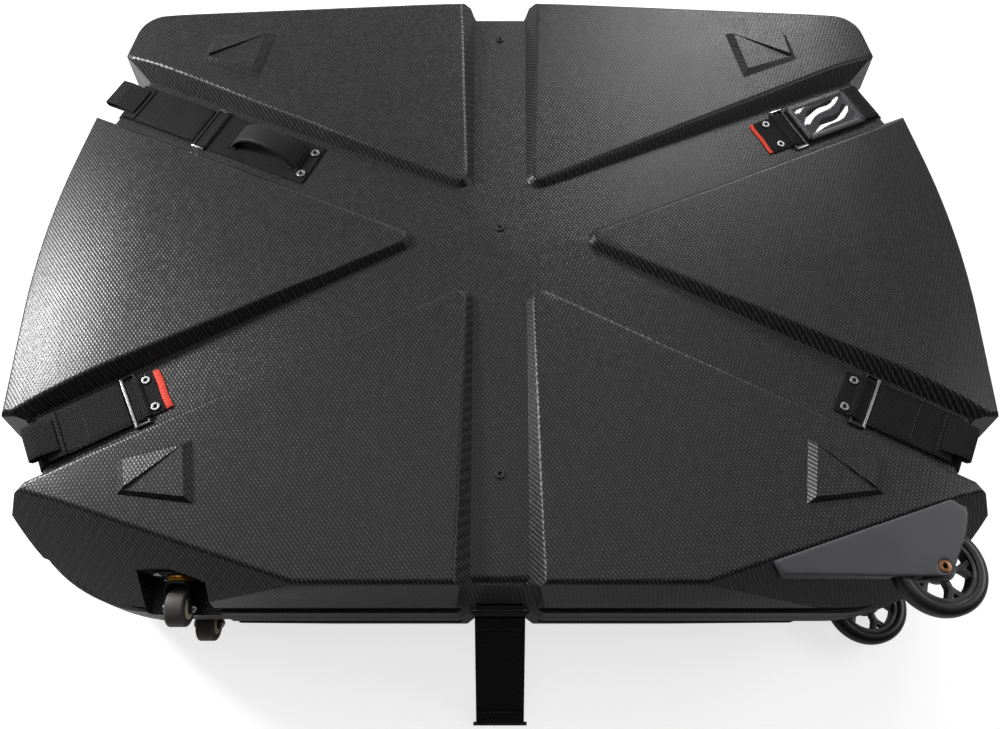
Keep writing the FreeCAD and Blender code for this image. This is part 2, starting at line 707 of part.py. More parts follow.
caster_screw_spots = [
    shift(side * size.caster_screw_spacing / 2, level * caster_screw_rise, size.caster_plate_thickness)
    for side in PAIR
    for level in PAIR
]


def drill(places, radius):
    """Straight holes through the wall at the places of fasteners."""
    depth = size.overrun
    holes = []
    for place in places:
        holes.append(placed(Part.makeCylinder(radius + size.hole_gap, 2 * depth, Vector(0, 0, -depth)), place))
    return holes


# Shells, seal and foam

outside = half_outside()
half_shell = outside.cut(half_cavity(size.shell_wall))
seal_slab = level_slab(-size.seal_height / 2, size.seal_height / 2)
lid_start = size.seal_height / 2 + size.seat_gap
lid_half = half_shell.common(level_slab(lid_start, size.half_depth + size.overrun))
base_half = half_shell.common(level_slab(size.seal_height / 2, size.half_depth + size.overrun))
seal_half = half_shell.common(level_slab(0, size.seal_height / 2))
base_half = base_half.mirror(Vector(), Z_AXIS)
seal = seal_half.fuse(seal_half.mirror(Vector(), Z_AXIS)).removeSplitter()
to_parting = shift(z=parting_z)

lid_holes = drill(channel_screw_places + handle_screw_places, size.screw_radius)
lid_holes += drill(rivet_places, size.rivet_radius)
lid_holes += drill([caster_frame(1).multiply(spot) for spot in caster_screw_spots], size.screw_radius)
lid_holes += drill([wheel_frame(1).multiply(shift(z=-size.wheel_width))], size.axle_radius)
base_holes = [hole.mirror(parting_point, Z_AXIS) for hole in drill(channel_screw_places, size.screw_radius)]
base_holes += drill(base_rivet_places, size.rivet_radius)
base_holes += drill([caster_frame(-1).multiply(spot) for spot in caster_screw_spots], size.screw_radius)
base_holes += drill([wheel_frame(-1).multiply(shift(z=-size.wheel_width))], size.axle_radius)
shape_node("lid_shell", placed(lid_half, to_parting).cut(lid_holes).Solids[0])
shape_node("base_shell", placed(base_half, to_parting).cut(base_holes).Solids[0])
shape_node("rim_seal", placed(seal, to_parting).Solids[0])

foam_top = size.half_depth - size.diagonal_depth - max(size.shell_wall, size.channel_end_round) - size.seat_gap
foam_slab = level_slab(foam_top - size.foam_thickness, foam_top)
foam = half_cavity(size.shell_wall + size.seat_gap).common(foam_slab)
shape_node("lid_foam", placed(foam, to_parting).Solids[0])
mirrored_node("base_foam", "lid_foam")

# Fasteners

screw_parts = {
    "channel_screw": "sizes.shell_wall + sizes.webbing + sizes.nut_height",
    "handle_screw": "sizes.tab_thickness + sizes.shell_wall",
    "caster_screw": "sizes.caster_plate_thickness + sizes.shell_wall",
}
screws = {}
for name, length in screw_parts.items():
    screws[name] = turned_body(name, (
        ("0", f"-({length})"),
        ("sizes.screw_radius", f"-({length})"),
        ("sizes.screw_radius", "0"),
        ("sizes.screw_head", "0"),
        ("sizes.screw_head", "sizes.screw_head_height / 2"),
        ("sizes.screw_head - sizes.screw_head_height", "sizes.screw_head_height"),
        ("0", "sizes.screw_head_height"),
    ))
rivet_length = "sizes.tab_thickness + sizes.shell_wall"
rivet = turned_body("rivet", (
    ("0", f"-({rivet_length})"),
    ("sizes.rivet_radius", f"-({rivet_length})"),
    ("sizes.rivet_radius", "0"),
    ("sizes.rivet_head", "0"),
    ("sizes.rivet_head - sizes.rivet_head_height / 2", "sizes.rivet_head_height"),
    ("0", "sizes.rivet_head_height"),
))
group_node("lid_channel_screws", screws["channel_screw"], channel_screw_places)
mirrored_node("base_channel_screws", "lid_channel_screws")
group_node("handle_screws", screws["handle_screw"], handle_screw_places)
group_node("anchor_rivets", rivet, rivet_places)
group_node("base_anchor_rivets", rivet, base_rivet_places)

nut = hexagon(size.nut_radius, size.nut_height, size.screw_radius + size.hole_gap)
under_strap = shift(z=-size.shell_wall - size.webbing - size.nut_height)
under_wall = shift(z=-size.shell_wall - size.nut_height)
nuts = [placed(nut, place.multiply(under_strap)) for place in outer_screw_places]
nuts.append(placed(nut, middle_screw_place.multiply(under_wall)))
shape_node("lid_channel_nuts", Part.makeCompound(nuts))
mirrored_node("base_channel_nuts", "lid_channel_nuts")

ties = []
for place in outer_screw_places:
    corner = Vector(size.tie_margin - size.tie_length, -size.tie_width / 2, -size.shell_wall - size.webbing)
    tie = block(size.tie_length, size.tie_width, size.webbing, corner)
    tie = tie.cut(drill([Placement()], size.screw_radius))
    ties.append(placed(tie, place))
shape_node("lid_tie_straps", Part.makeCompound(ties))
mirrored_node("base_tie_straps", "lid_tie_straps")

# Big wheels with their guards

crease = Vector(size.facet_outer_x - size.facet_inner_x, size.facet_inner_y - size.facet_outer_y, 0).normalize()
from_crease = Vector(size.wheel_x - size.facet_outer_x, size.facet_outer_y - size.wheel_y, 0)
axle_run = from_crease.x * crease.y - from_crease.y * crease.x
wheel_top = size.wheel_level + size.wheel_width / 2
bolt_level = size.half_depth - axle_run * math.tan(math.radians(size.guard_angle)) - size.axle_head_height


def guard_shape():
    """The wheel guard of the lid: a sloped plate with a skirt down to the corner facet."""
    outline = [Vector(x * size.side_corner_x, -y * size.rim_front, 0) for x, y in GUARD_SHARES]
    wire = closed_polygon(outline)
    wire.translate(Vector(0, 0, size.half_depth - size.guard_skirt))
    body = prism(wire, size.guard_skirt)
    pocket = prism(wire.makeOffset2D(-size.guard_plate), size.guard_skirt)
    pocket = pocket.cut(facet_tool(RIGHT, size.guard_angle, size.guard_plate))
    axle = Vector(size.wheel_x, -size.wheel_y, wheel_top + size.guard_gap)
    boss = Part.makeCylinder(size.axle_head + size.guard_plate, size.guard_skirt, axle)
    clearance = Part.makeCylinder(size.wheel_radius + size.well_gap, axle.z, Vector(axle.x, axle.y, 0))
    head_seat = Vector(axle.x, axle.y, bolt_level)
    head_room = Part.makeCylinder(size.axle_head + size.hole_gap, size.guard_skirt, head_seat)
    bore = Part.makeCylinder(size.axle_radius, size.guard_skirt, axle)
    body = body.cut(pocket).fuse(boss.common(body)).cut([clearance, head_room, bore])
    body = body.cut(facet_tool(RIGHT, size.guard_angle, 0))
    return body.common(facet_tool(RIGHT, size.facet_angle, -size.seat_gap))


def hub_shape():
    """The wheel hub: rim, boss and forked spokes round a bore for two bearings."""
    rim_radius = size.wheel_radius - size.tyre_depth
    low = Vector(0, 0, -size.hub_width / 2)
    rim = Part.makeCylinder(rim_radius, size.hub_width, low)
    inner = rim_radius - size.hub_rim
    rim = rim.cut(Part.makeCylinder(inner, size.hub_width, low))
    boss = Part.makeCylinder(size.hub_boss, size.hub_width, low)
    fork = size.hub_boss + (inner - size.hub_boss) * SPOKE_FORK_SHARE
    arm_run = inner + size.hub_rim / 2 - fork
    half = size.spoke_width / 2
    spokes = []
    for turn in range(HUB_SPOKES):
        spin = Rotation(Z_AXIS, 360 / HUB_SPOKES * turn)
        stem_corner = Vector(size.hub_boss - half, -half, -size.spoke_depth / 2)
        stem = block(fork - size.hub_boss + half, size.spoke_width, size.spoke_depth, stem_corner)
        spokes.append(placed(stem, Placement(Vector(), spin)))
        for side in PAIR:
            arm = block(arm_run * math.sqrt(2), size.spoke_width, size.spoke_depth, Vector(-half, -half, stem_corner.z))
            bend = Placement(Vector(fork, 0, 0), Rotation(Z_AXIS, side * 180 / HUB_SPOKES))
            spokes.append(placed(arm, Placement(Vector(), spin).multiply(bend)))
    trim = Part.makeCylinder(rim_radius, size.hub_width, low)
    hub = rim.fuse([boss] + [spoke.common(trim) for spoke in spokes])
    seats = [Part.makeCylinder(size.bearing_radius, size.bearing_width, low)]
    top = Vector(0, 0, size.hub_width / 2 - size.bearing_width)
    seats.append(Part.makeCylinder(size.bearing_radius, size.bearing_width, top))
    seats.append(Part.makeCylinder(size.sleeve_radius + size.hole_gap, size.hub_width, low))
    return hub.cut(seats).removeSplitter()


tyre_inner = "sizes.wheel_radius - sizes.tyre_depth"
tyre_face = "sizes.wheel_width / 2"
tread_edge = "sizes.wheel_width / 2 - sizes.tyre_shoulder"
bearing_bore = "sizes.axle_radius + sizes.running_gap"
bearing = turned_body("bearing", (
    (bearing_bore, "-sizes.bearing_width / 2"),
    ("sizes.bearing_radius", "-sizes.bearing_width / 2"),
    ("sizes.bearing_radius", "sizes.bearing_width / 2"),
    (bearing_bore, "sizes.bearing_width / 2"),
))
axle_nut = hexagon(size.axle_nut_radius, size.axle_nut_height, size.axle_radius)
head_level = bolt_level - size.wheel_level
well_floor = -size.wheel_width / 2 - size.well_gap
bearing_middle = (size.hub_width - size.bearing_width) / 2


def sleeve(low, high):
    """A sleeve on the axle between two levels from the wheel's middle."""
    start = Vector(0, 0, low)
    bore = Part.makeCylinder(size.axle_radius, high - low, start)
    return Part.makeCylinder(size.sleeve_radius, high - low, start).cut(bore)


def bolt_shape():
    """An axle bolt with a flat head, from the wheel's middle."""
    end = well_floor - size.shell_wall - size.axle_nut_height
    shank = Part.makeCylinder(size.axle_radius, head_level - end, Vector(0, 0, end))
    head = Part.makeCylinder(size.axle_head, size.axle_head_height, Vector(0, 0, head_level))
    return shank.fuse(head).removeSplitter()


sleeves = Part.makeCompound([
    sleeve(size.hub_width / 2 + size.seat_gap, size.wheel_width / 2 + size.guard_gap),
    sleeve(well_floor, -size.hub_width / 2 - size.seat_gap),
])
guard = placed(guard_shape(), to_parting)
hub = hub_shape()
for half_name, half in HALVES:
    frame = wheel_frame(half)
    shape_node(f"{half_name}_wheel_guard", guard if half > 0 else guard.mirror(parting_point, Z_AXIS))
    tyre = turned_body(f"{half_name}_tyre", (
        (tyre_inner, f"-({tyre_face})"),
        ("sizes.wheel_radius - sizes.tyre_shoulder", f"-({tyre_face})"),
        ("sizes.wheel_radius", f"-({tread_edge})"),
        ("sizes.wheel_radius", tread_edge),
        ("sizes.wheel_radius - sizes.tyre_shoulder", tyre_face),
        (tyre_inner, tyre_face),
    ))
    keep(f"{half_name}_tyre", tyre, frame)
    shape_node(f"{half_name}_hub", placed(hub, frame))
    group_node(f"{half_name}_bearings", bearing, [frame.multiply(shift(z=side * bearing_middle)) for side in PAIR])
    bolt = placed(bolt_shape(), frame)
    nut_place = frame.multiply(shift(z=well_floor - size.shell_wall - size.axle_nut_height))
    shape_node(f"{half_name}_axle_bolt", Part.makeCompound([bolt, placed(axle_nut, nut_place)]))
    shape_node(f"{half_name}_axle_spacers", placed(sleeves, frame))

# Casters

pin_radius = size.race_radius / 3
crown_low = size.caster_plate_thickness + size.race_height + size.seat_gap
leg_inner = size.caster_width / 2 + size.caster_side_gap
leg_outer = leg_inner + size.fork_leg


def fork_shape():
    """The caster's fork: king pin, crown and two legs, with Z along the swivel axis."""
    half_width = size.fork_width / 2
    corner = Vector(-leg_outer, -half_width, crown_low)
    crown = block(2 * leg_outer, size.fork_width, size.fork_crown, corner)
    pin = Part.makeCylinder(pin_radius, crown_low - size.caster_plate_thickness - size.seat_gap,
                            Vector(0, 0, size.caster_plate_thickness + size.seat_gap))
    axle_hole = Part.makeCylinder(size.caster_axle_radius, 2 * leg_outer,
                                  Vector(-leg_outer, -size.caster_trail, size.caster_drop), X_AXIS)
    pieces = [crown, pin]
    for start in (-leg_outer, leg_inner):
        corners = (
            Vector(start, -half_width, crown_low),
            Vector(start, half_width, crown_low),
            Vector(start, size.fork_end - size.caster_trail, size.caster_drop),
            Vector(start, -size.fork_end - size.caster_trail, size.caster_drop),
        )
        leg = Part.Face(closed_polygon(corners)).extrude(X_AXIS * size.fork_leg)
        place = Vector(start, -size.caster_trail, size.caster_drop)
        pieces.append(leg.fuse(Part.makeCylinder(size.fork_end, size.fork_leg, place, X_AXIS)))
    return pieces[0].fuse(pieces[1:]).cut(axle_hole).removeSplitter()


tread_face = "sizes.caster_width / 2"
core_face = "sizes.caster_width / 2 + sizes.core_lip"
core_bore = "sizes.caster_axle_radius + sizes.running_gap"
axle_reach = "sizes.caster_width / 2 + sizes.caster_side_gap + sizes.fork_leg"
axle_tip = f"({axle_reach} + sizes.caster_nut_height)"
race_low = "sizes.caster_plate_thickness"
race_high = "sizes.caster_plate_thickness + sizes.race_height"
race_bore = "sizes.race_radius / 3 + sizes.running_gap"
fork = fork_shape()
for half_name, half in HALVES:
    frame = caster_frame(half)
    axle_frame = frame.multiply(Placement(Vector(0, -size.caster_trail, size.caster_drop), Rotation(Y_AXIS, 90)))
    spots = [frame.multiply(spot) for spot in caster_screw_spots]
    plate_corner = Vector(-size.caster_plate_width / 2, -size.caster_plate_height / 2, 0)
    plate = block(size.caster_plate_width, size.caster_plate_height, size.caster_plate_thickness, plate_corner)
    shape_node(f"{half_name}_caster_plate", placed(plate, frame).cut(drill(spots, size.screw_radius)))
    group_node(f"{half_name}_caster_screws", screws["caster_screw"], spots)
    race = turned_body(f"{half_name}_caster_race", (
        (race_bore, race_low),
        ("sizes.race_radius", race_low),
        ("sizes.race_radius", race_high),
        (race_bore, race_high),
    ))
    keep(f"{half_name}_caster_race", race, frame)
    shape_node(f"{half_name}_caster_fork", placed(fork, frame))
    tread = turned_body(f"{half_name}_caster_tread", (
        ("sizes.core_radius", f"-({tread_face})"),
        ("sizes.caster_radius - sizes.core_lip", f"-({tread_face})"),
        ("sizes.caster_radius", f"-({tread_face} - sizes.core_lip * 4)"),
        ("sizes.caster_radius", f"{tread_face} - sizes.core_lip * 4"),
        ("sizes.caster_radius - sizes.core_lip", tread_face),
        ("sizes.core_radius", tread_face),
    ))
    keep(f"{half_name}_caster_tread", tread, axle_frame)
    core = turned_body(f"{half_name}_caster_core", (
        (core_bore, f"-({core_face})"),
        ("sizes.core_radius", f"-({core_face})"),
        ("sizes.core_radius", core_face),
        (core_bore, core_face),
    ))
    keep(f"{half_name}_caster_core", core, axle_frame)
    axle = turned_body(f"{half_name}_caster_axle", (
        ("0", f"-{axle_tip}"),
        ("sizes.caster_nut_radius", f"-{axle_tip}"),
        ("sizes.caster_nut_radius", f"-({axle_reach})"),
        ("sizes.caster_axle_radius", f"-({axle_reach})"),
        ("sizes.caster_axle_radius", axle_reach),
        ("sizes.caster_nut_radius", axle_reach),
        ("sizes.caster_nut_radius", axle_tip),
        ("0", axle_tip),
    ))
    keep(f"{half_name}_caster_axle", axle, axle_frame)

# Closing straps with their rings, tabs and flaps

def framed_box(name, length, width, border, height):
    """An open rectangular frame centred on its own origin; sizes are expressions."""
    outer = doc.addObject("Part::Box", name + "_outer")
    inner = doc.addObject("Part::Box", name + "_inner")
    for item, less in ((outer, "0 * sizes.ring_wire"), (inner, f"2 * ({border})")):
        item.setExpression("Length", f"{length} - {less}")
        item.setExpression("Width", f"{width} - {less}")
        item.setExpression("Height", height)
        item.setExpression("Placement.Base.x", f"-({length} - {less}) / 2")
        item.setExpression("Placement.Base.y", f"-({width} - {less}) / 2")
    result = doc.addObject("Part::Cut", name)
    result.Base = outer
    result.Tool = inner
    doc.recompute()
    return result


def tab_shape(start, length, width):
    """A flat tab from its inner end outwards, with its lower face on the surface."""
    return block(length, width, size.tab_thickness, Vector(start, -width / 2, 0))


def strap_shape(name):
    """A strap from its ring along the channel floor, over the edge and down to the base."""
    channel = channels[name]
    ring, _, _ = tab_start(name)
    start = ring + size.ring_width / 2 + size.seat_gap
    rise = math.tan(math.radians(channel.slope))
    lean = size.notch_lean / size.half_depth

    def side_path(lift):
        """Corner points of one face of the strap, lifted off the shell."""
        base_level = size.half_depth - size.crossing_depth + lift
        edge_reach = (channel.notch + size.notch_lean + lift - lean * base_level) / (1 - lean * rise)
        points = (
            Vector(start, 0, base_level - rise * start),
            Vector(edge_reach, 0, base_level - rise * edge_reach),
            Vector(channel.notch + size.notch_lean + lift, 0, 0),
            Vector(channel.notch + size.notch_lean + lift - lean * size.strap_tail, 0, -size.strap_tail),
        )
        return rounded_path(points, (size.channel_end_round + lift, size.strap_tail))

    inner = side_path(size.seat_gap)
    outer = side_path(size.seat_gap + size.webbing)
    first = Part.LineSegment(inner[0].Vertexes[0].Point, outer[0].Vertexes[0].Point).toShape()
    last = Part.LineSegment(inner[-1].Vertexes[-1].Point, outer[-1].Vertexes[-1].Point).toShape()
    wire = Part.Wire(Part.__sortEdges__(inner + outer + [first, last]))
    strip = Part.Face(wire).extrude(Vector(0, size.strap_width, 0))
    return placed(strip, channel_frame(channel, parting_z).multiply(shift(y=-size.strap_width / 2)))


strap_ring = framed_box("strap_ring", "sizes.ring_width", "sizes.ring_length", "sizes.ring_wire", "sizes.ring_wire")
group_node("strap_rings", strap_ring, [on_floor(name, tab_start(name)[0]) for name in STRAP_NAMES])
tabs = []
for name in tabbed:
    ring, length, start = tab_start(name)
    tabs.append(placed(tab_shape(0, length, size.tab_width), on_floor(name, start)))
rivet_holes = drill(rivet_places, size.rivet_radius)
shape_node("anchor_tabs", Part.makeCompound([tab.cut(rivet_holes) for tab in tabs]))
pulls = []
for name in ("back_right", "front_left"):
    ring, length, start = tab_start(name)
    pull = block(size.pull_tab_length, size.tab_width, size.pull_tab_thickness, Vector(0, -size.tab_width / 2, 0))
    pulls.append(placed(pull, on_floor(name, start - size.pull_tab_length)))
shape_node("pull_tabs", Part.makeCompound(pulls))
base_tabs = []
for name in STRAP_NAMES:
    tab = tab_shape(size.strap_tail + size.fold_gap, size.anchor_plate, size.tab_width)
    base_tabs.append(placed(tab, notch_frame(channels[name], -1)))
base_rivet_holes = drill(base_rivet_places, size.rivet_radius)
shape_node("base_anchor_tabs", Part.makeCompound([tab.cut(base_rivet_holes) for tab in base_tabs]))

flap_lift = size.seat_gap * 2 + size.webbing
fold_run = size.ring_width / 2 + size.fold_gap
hinges = {}
for name in STRAP_NAMES:
    ring, _, _ = tab_start(name)
    shape_node(f"strap_{name}", strap_shape(name))
    flap_length = "sizes.rear_flap" if name.startswith("back") else "sizes.fore_flap"
    corner = on_floor(name, ring + fold_run, -size.strap_width / 2, flap_lift)
    box_node(f"flap_{name}", flap_length, "sizes.strap_width", "sizes.flap_thickness", corner)
    hinges[name] = on_floor(name, ring + size.ring_width / 2 - size.ring_wire / 2, 0, size.ring_wire / 2)

# Carry handle

plate = tab_shape(0, size.handle_plate_length, size.handle_plate_width)
plate = placed(plate, on_floor("back_left", handle_start))
shape_node("handle_plate", plate.cut(drill(handle_screw_places, size.screw_radius)))


def handle_shape():
    """A strap arched up from its plate, X along the channel."""
    half = size.handle_span / 2
    inner_half = half - size.handle_thickness
    outer_arc = Part.Arc(Vector(-half, 0, 0), Vector(0, 0, size.handle_rise), Vector(half, 0, 0))
    inner_top = Vector(0, 0, size.handle_rise - size.handle_thickness)
    inner_arc = Part.Arc(Vector(-inner_half, 0, 0), inner_top, Vector(inner_half, 0, 0))
    ends = [
        Part.LineSegment(Vector(side * half, 0, 0), Vector(side * inner_half, 0, 0)).toShape() for side in PAIR
    ]
    wire = Part.Wire(Part.__sortEdges__([outer_arc.toShape(), inner_arc.toShape()] + ends))
    strip = Part.Face(wire).extrude(Vector(0, size.handle_width, 0))
    strip.translate(Vector(0, -size.handle_width / 2, 0))
    return strip


handle_middle = handle_start + size.handle_margin + size.handle_span / 2
shape_node("carry_handle", placed(handle_shape(), on_floor("back_left", handle_middle, 0, size.tab_thickness)))

# Name window on a flap

window_reach = size.rear_ring + fold_run + size.window_margin + size.window_length / 2
window_place = on_floor("back_right", window_reach, 0, flap_lift + size.flap_thickness)
window_frame = framed_box(
    "window_frame", "sizes.window_length", "sizes.window_width", "sizes.window_border", "sizes.window_frame_thickness"
)
keep("window_frame", window_frame, window_place)
pane_corner = shift(size.window_border - size.window_length / 2, size.window_border - size.window_width / 2)
box_node(
    "window_pane",
    "sizes.window_length - 2 * sizes.window_border",
    "sizes.window_width - 2 * sizes.window_border",
    "sizes.window_pane_thickness",
    window_place.multiply(pane_corner),
)

# Front strap

front_wall = notch_frame(channels["front"], 1)
front_ring_middle = size.front_ring_width / 2 - size.ring_wire / 2
tab_top = front_ring_middle - size.front_ring_width / 2 - size.front_tab_length
box_node(
    "front_strap_tab", "sizes.front_tab_length", "sizes.front_tab_width", "sizes.tab_thickness",
    front_wall.multiply(shift(tab_top, -size.front_tab_width / 2, 0)),
)
front_ring = framed_box(
    "front_strap_ring", "sizes.front_ring_width", "sizes.front_ring_length", "sizes.ring_wire", "sizes.ring_wire"
)
keep("front_strap_ring", front_ring, front_wall.multiply(shift(front_ring_middle, 0, size.tab_thickness)))
bar_reach = front_ring_middle + size.front_ring_width / 2 - size.ring_wire / 2
hinge_place = front_wall.multiply(shift(bar_reach, 0, size.tab_thickness + size.ring_wire / 2))
hinge_point = hinge_place.Base
strap_run = size.front_strap_length + size.front_bar_radius + size.seat_gap
fall = (hinge_point.z - size.front_bar_radius - size.seat_gap) / strap_run
fall = math.asin(min(fall, 1))
strap_along = Vector(0, -math.cos(fall), -math.sin(fall))
strap_out = Vector(0, -math.sin(fall), math.cos(fall))
strap_frame = Placement(hinge_point, Rotation(strap_along, X_AXIS, strap_out, "XYZ"))
strap_start = size.ring_wire / 2 + size.fold_gap
box_node(
    "front_strap",
    "sizes.front_strap_length - sizes.ring_wire / 2 - sizes.fold_gap",
    "sizes.front_strap_width",
    "sizes.flap_thickness",
    strap_frame.multiply(shift(strap_start, -size.front_strap_width / 2, -size.flap_thickness / 2)),
)
bar = doc.addObject("Part::Cylinder", "front_strap_bar")
bar.setExpression("Radius", "sizes.front_bar_radius")
bar.setExpression("Height", "sizes.front_bar_length")
bar_turn = Placement(Vector(strap_run, size.front_bar_length / 2, 0), Rotation(X_AXIS, 90))
keep("front_strap_bar", bar, strap_frame.multiply(bar_turn))

# Centre the whole in plan, check it and write the files

doc.recompute()
whole = FreeCAD.BoundBox()
for item in nodes.values():
    whole.add(item.Shape.optimalBoundingBox(False))
centring = shift(-whole.Center.x, -whole.Center.y, -whole.ZMin)
for item in nodes.values():
    item.Placement = centring.multiply(item.Placement)
doc.recompute()
for item in doc.Objects:
    if "Invalid" in item.State or "Error" in item.State:
        raise RuntimeError(f"{item.Name} did not recompute")
os.makedirs("parts", exist_ok=True)
for label, item in nodes.items():
    if item.Shape.isNull() or not item.Shape.isValid():
        raise RuntimeError(f"{label} has no valid shape")
    item.Shape.exportStep(f"parts/{label}.step")
print(len(nodes), "nodes,", whole.XLength, whole.YLength, whole.ZLength)
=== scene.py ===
# %% [markdown]
# A hard bike travel case, dressed for the camera
# The imported model is loaded first, as a fixed frame in metres. Every piece made below lies in that same frame,
# so a piece goes where the frame says and nothing is fitted by eye.

# %% Load the frame
import math

import bpy
import numpy as np
from mathutils import Matrix, Vector


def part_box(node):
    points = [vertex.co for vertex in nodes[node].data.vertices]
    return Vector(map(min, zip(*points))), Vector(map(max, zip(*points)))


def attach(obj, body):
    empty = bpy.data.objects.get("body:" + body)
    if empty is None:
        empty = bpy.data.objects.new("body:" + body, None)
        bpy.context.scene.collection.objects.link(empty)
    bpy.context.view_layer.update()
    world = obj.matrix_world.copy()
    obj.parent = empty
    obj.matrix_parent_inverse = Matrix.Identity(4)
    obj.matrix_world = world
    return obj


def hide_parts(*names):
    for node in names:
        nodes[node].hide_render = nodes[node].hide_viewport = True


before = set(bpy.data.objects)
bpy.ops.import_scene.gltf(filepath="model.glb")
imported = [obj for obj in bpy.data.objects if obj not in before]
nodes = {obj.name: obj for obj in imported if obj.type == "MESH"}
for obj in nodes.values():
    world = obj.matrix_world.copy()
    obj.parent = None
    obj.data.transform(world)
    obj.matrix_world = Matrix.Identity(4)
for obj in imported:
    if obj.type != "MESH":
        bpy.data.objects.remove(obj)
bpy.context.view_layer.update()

scene = bpy.context.scene

# %% [markdown]
# Camera
# The case lies flat and is seen from above its front edge. Lens, height and tilt were worked out from the photograph
# by laying the known plan of the panels over it, so the camera is set by numbers and not by eye.

# %% Camera at the photograph's angle
CAMERA_PLACE, CAMERA_TILT = (0, -0.6085, 1.2577), math.radians(26.22)
SENSOR_MM, LENS_MM = 36, 30
bpy.ops.object.select_all(action="DESELECT")
bpy.ops.object.camera_add(location=CAMERA_PLACE, rotation=(CAMERA_TILT, 0, 0))
camera = bpy.context.object
camera.name = "photo_camera"
camera.data.sensor_width = SENSOR_MM
camera.data.lens = LENS_MM
camera.data.clip_end = 50
scene.camera = camera
scene.view_settings.view_transform = "Standard"
print("camera at", tuple(round(c, 3) for c in camera.location))

# %% [markdown]
# Materials are built from nodes
# Colours are written as sRGB hex values, as a paint chart gives them, and one function turns them to the linear values
# that shaders use. One small function adds a node, sets it and links it, so each material reads like a recipe.

# %% Colour and node helpers
def hex_colour(text):
    """An sRGB hex colour as linear red, green, blue and alpha."""
    parts = [int(text[i:i + 2], 16) / 255 for i in (1, 3, 5)]
    return [c / 12.92 if c <= 0.04045 else ((c + 0.055) / 1.055) ** 2.4 for c in parts] + [1]


def add(tree, kind, inputs=None, **settings):
    """Put a node in a tree, with its settings and the values, sockets or nodes that feed it."""
    node = tree.nodes.new("ShaderNode" + kind)
    for key, value in settings.items():
        setattr(node, key, value)
    for socket, value in (inputs or {}).items():
        if isinstance(value, bpy.types.Node):
            value = value.outputs[0]
        if isinstance(value, bpy.types.NodeSocket):
            tree.links.new(value, node.inputs[socket])
        else:
            node.inputs[socket].default_value = value
    return node


def start_material(name, **sockets):
    """A new material: its node tree, its shader with plain values set, and the places for its textures."""
    material = bpy.data.materials.new(name)
    material.use_nodes = True
    tree = material.node_tree
    shader = tree.nodes["Principled BSDF"]
    for socket, value in sockets.items():
        shader.inputs[socket.replace("_", " ")].default_value = value
    return material, tree, shader, add(tree, "TexCoord").outputs


def feed(tree, target, **sources):
    """Link nodes to a shader's sockets."""
    for socket, node in sources.items():
        tree.links.new(node.outputs[0], target.inputs[socket.replace("_", " ")])


def bands(tree, place, pitch_mm, direction="X", **more):
    """A Wave texture whose bands repeat at a real pitch."""
    scale = 2 * math.pi / 20 / (pitch_mm / 1000)
    return add(tree, "TexWave", {"Vector": place, "Scale": scale, **more}, bands_direction=direction)


def blotches(tree, place, size_mm, detail, **more):
    """A Noise texture with blotches of a real size."""
    return add(tree, "TexNoise", {"Vector": place, "Scale": 1000 / size_mm, "Detail": detail, **more})


print("white is", hex_colour("#ffffff"))

# %% [markdown]
# Floor, world and lamps
# The case stands on a white studio floor. Its pale diffuse part takes the soft shadow, and a glow that the camera and
# glass rays see, and mirror rays only faintly, lifts it to white. The world is white to the camera too, but lights the
# case softly and mostly from behind. Six lamps do the rest: softboxes at the rear right and at the left give the broad
# glints on the panels, low strips behind and at the left draw lines along the rounded edges, and two weak ones fill in.

# %% Studio floor
FLOOR_SIZE, FLOOR_GLOW, MIRROR_SHARE = 14, 0.72, 0.1
floor_white, tree, shader, _ = start_material("white_studio_floor", Roughness=0.9)
shader.inputs["Base Color"].default_value = hex_colour("#c0c0c0")
path = add(tree, "LightPath")
mirrored = add(tree, "Math", {0: path.outputs["Is Glossy Ray"], 1: MIRROR_SHARE}, operation="MULTIPLY")
seen = add(tree, "Math", {0: path.outputs["Is Camera Ray"], 1: mirrored}, operation="ADD")
seen = add(tree, "Math", {0: seen, 1: path.outputs["Is Transmission Ray"]}, operation="ADD", use_clamp=True)
level = add(tree, "Math", {0: seen, 1: FLOOR_GLOW}, operation="MULTIPLY")
glow = add(tree, "Emission", {"Color": hex_colour("#ffffff"), "Strength": level})
both = add(tree, "AddShader", {0: shader, 1: glow})
feed(tree, tree.nodes["Material Output"], Surface=both)

bpy.ops.object.select_all(action="DESELECT")
bpy.ops.mesh.primitive_plane_add(size=FLOOR_SIZE, location=(0, 0, -0.0005))
floor = bpy.context.object
floor.name = "studio_floor"
floor.data.materials.append(floor_white)
print("a floor of", FLOOR_SIZE, "m")

# %% Studio world
FRONT_LIGHT, BACK_LIGHT = 0.04, 0.37  # its strength before and behind the case
world = bpy.data.worlds.new("studio_world")
scene.world = world
world.use_nodes = True
tree = world.node_tree
path = add(tree, "LightPath")
seen = add(tree, "Math", {0: path.outputs["Is Camera Ray"], 1: path.outputs["Is Transmission Ray"]}, operation="ADD",
           use_clamp=True)
coords = add(tree, "TexCoord")
split = add(tree, "SeparateXYZ", {0: coords.outputs["Generated"]})
back_share = add(tree, "MapRange", {0: split.outputs["Y"], 1: -0.6, 2: 0.6, 3: FRONT_LIGHT, 4: BACK_LIGHT},
                 interpolation_type="SMOOTHSTEP")
room = add(tree, "Background", {"Color": hex_colour("#ffffff"), "Strength": back_share})
plain = add(tree, "Background", {"Color": hex_colour("#ffffff"), "Strength": 1.0})
final = add(tree, "MixShader", {0: seen, 1: room, 2: plain})
feed(tree, tree.nodes["World Output"], Surface=final)
print("room light from", FRONT_LIGHT, "to", BACK_LIGHT)

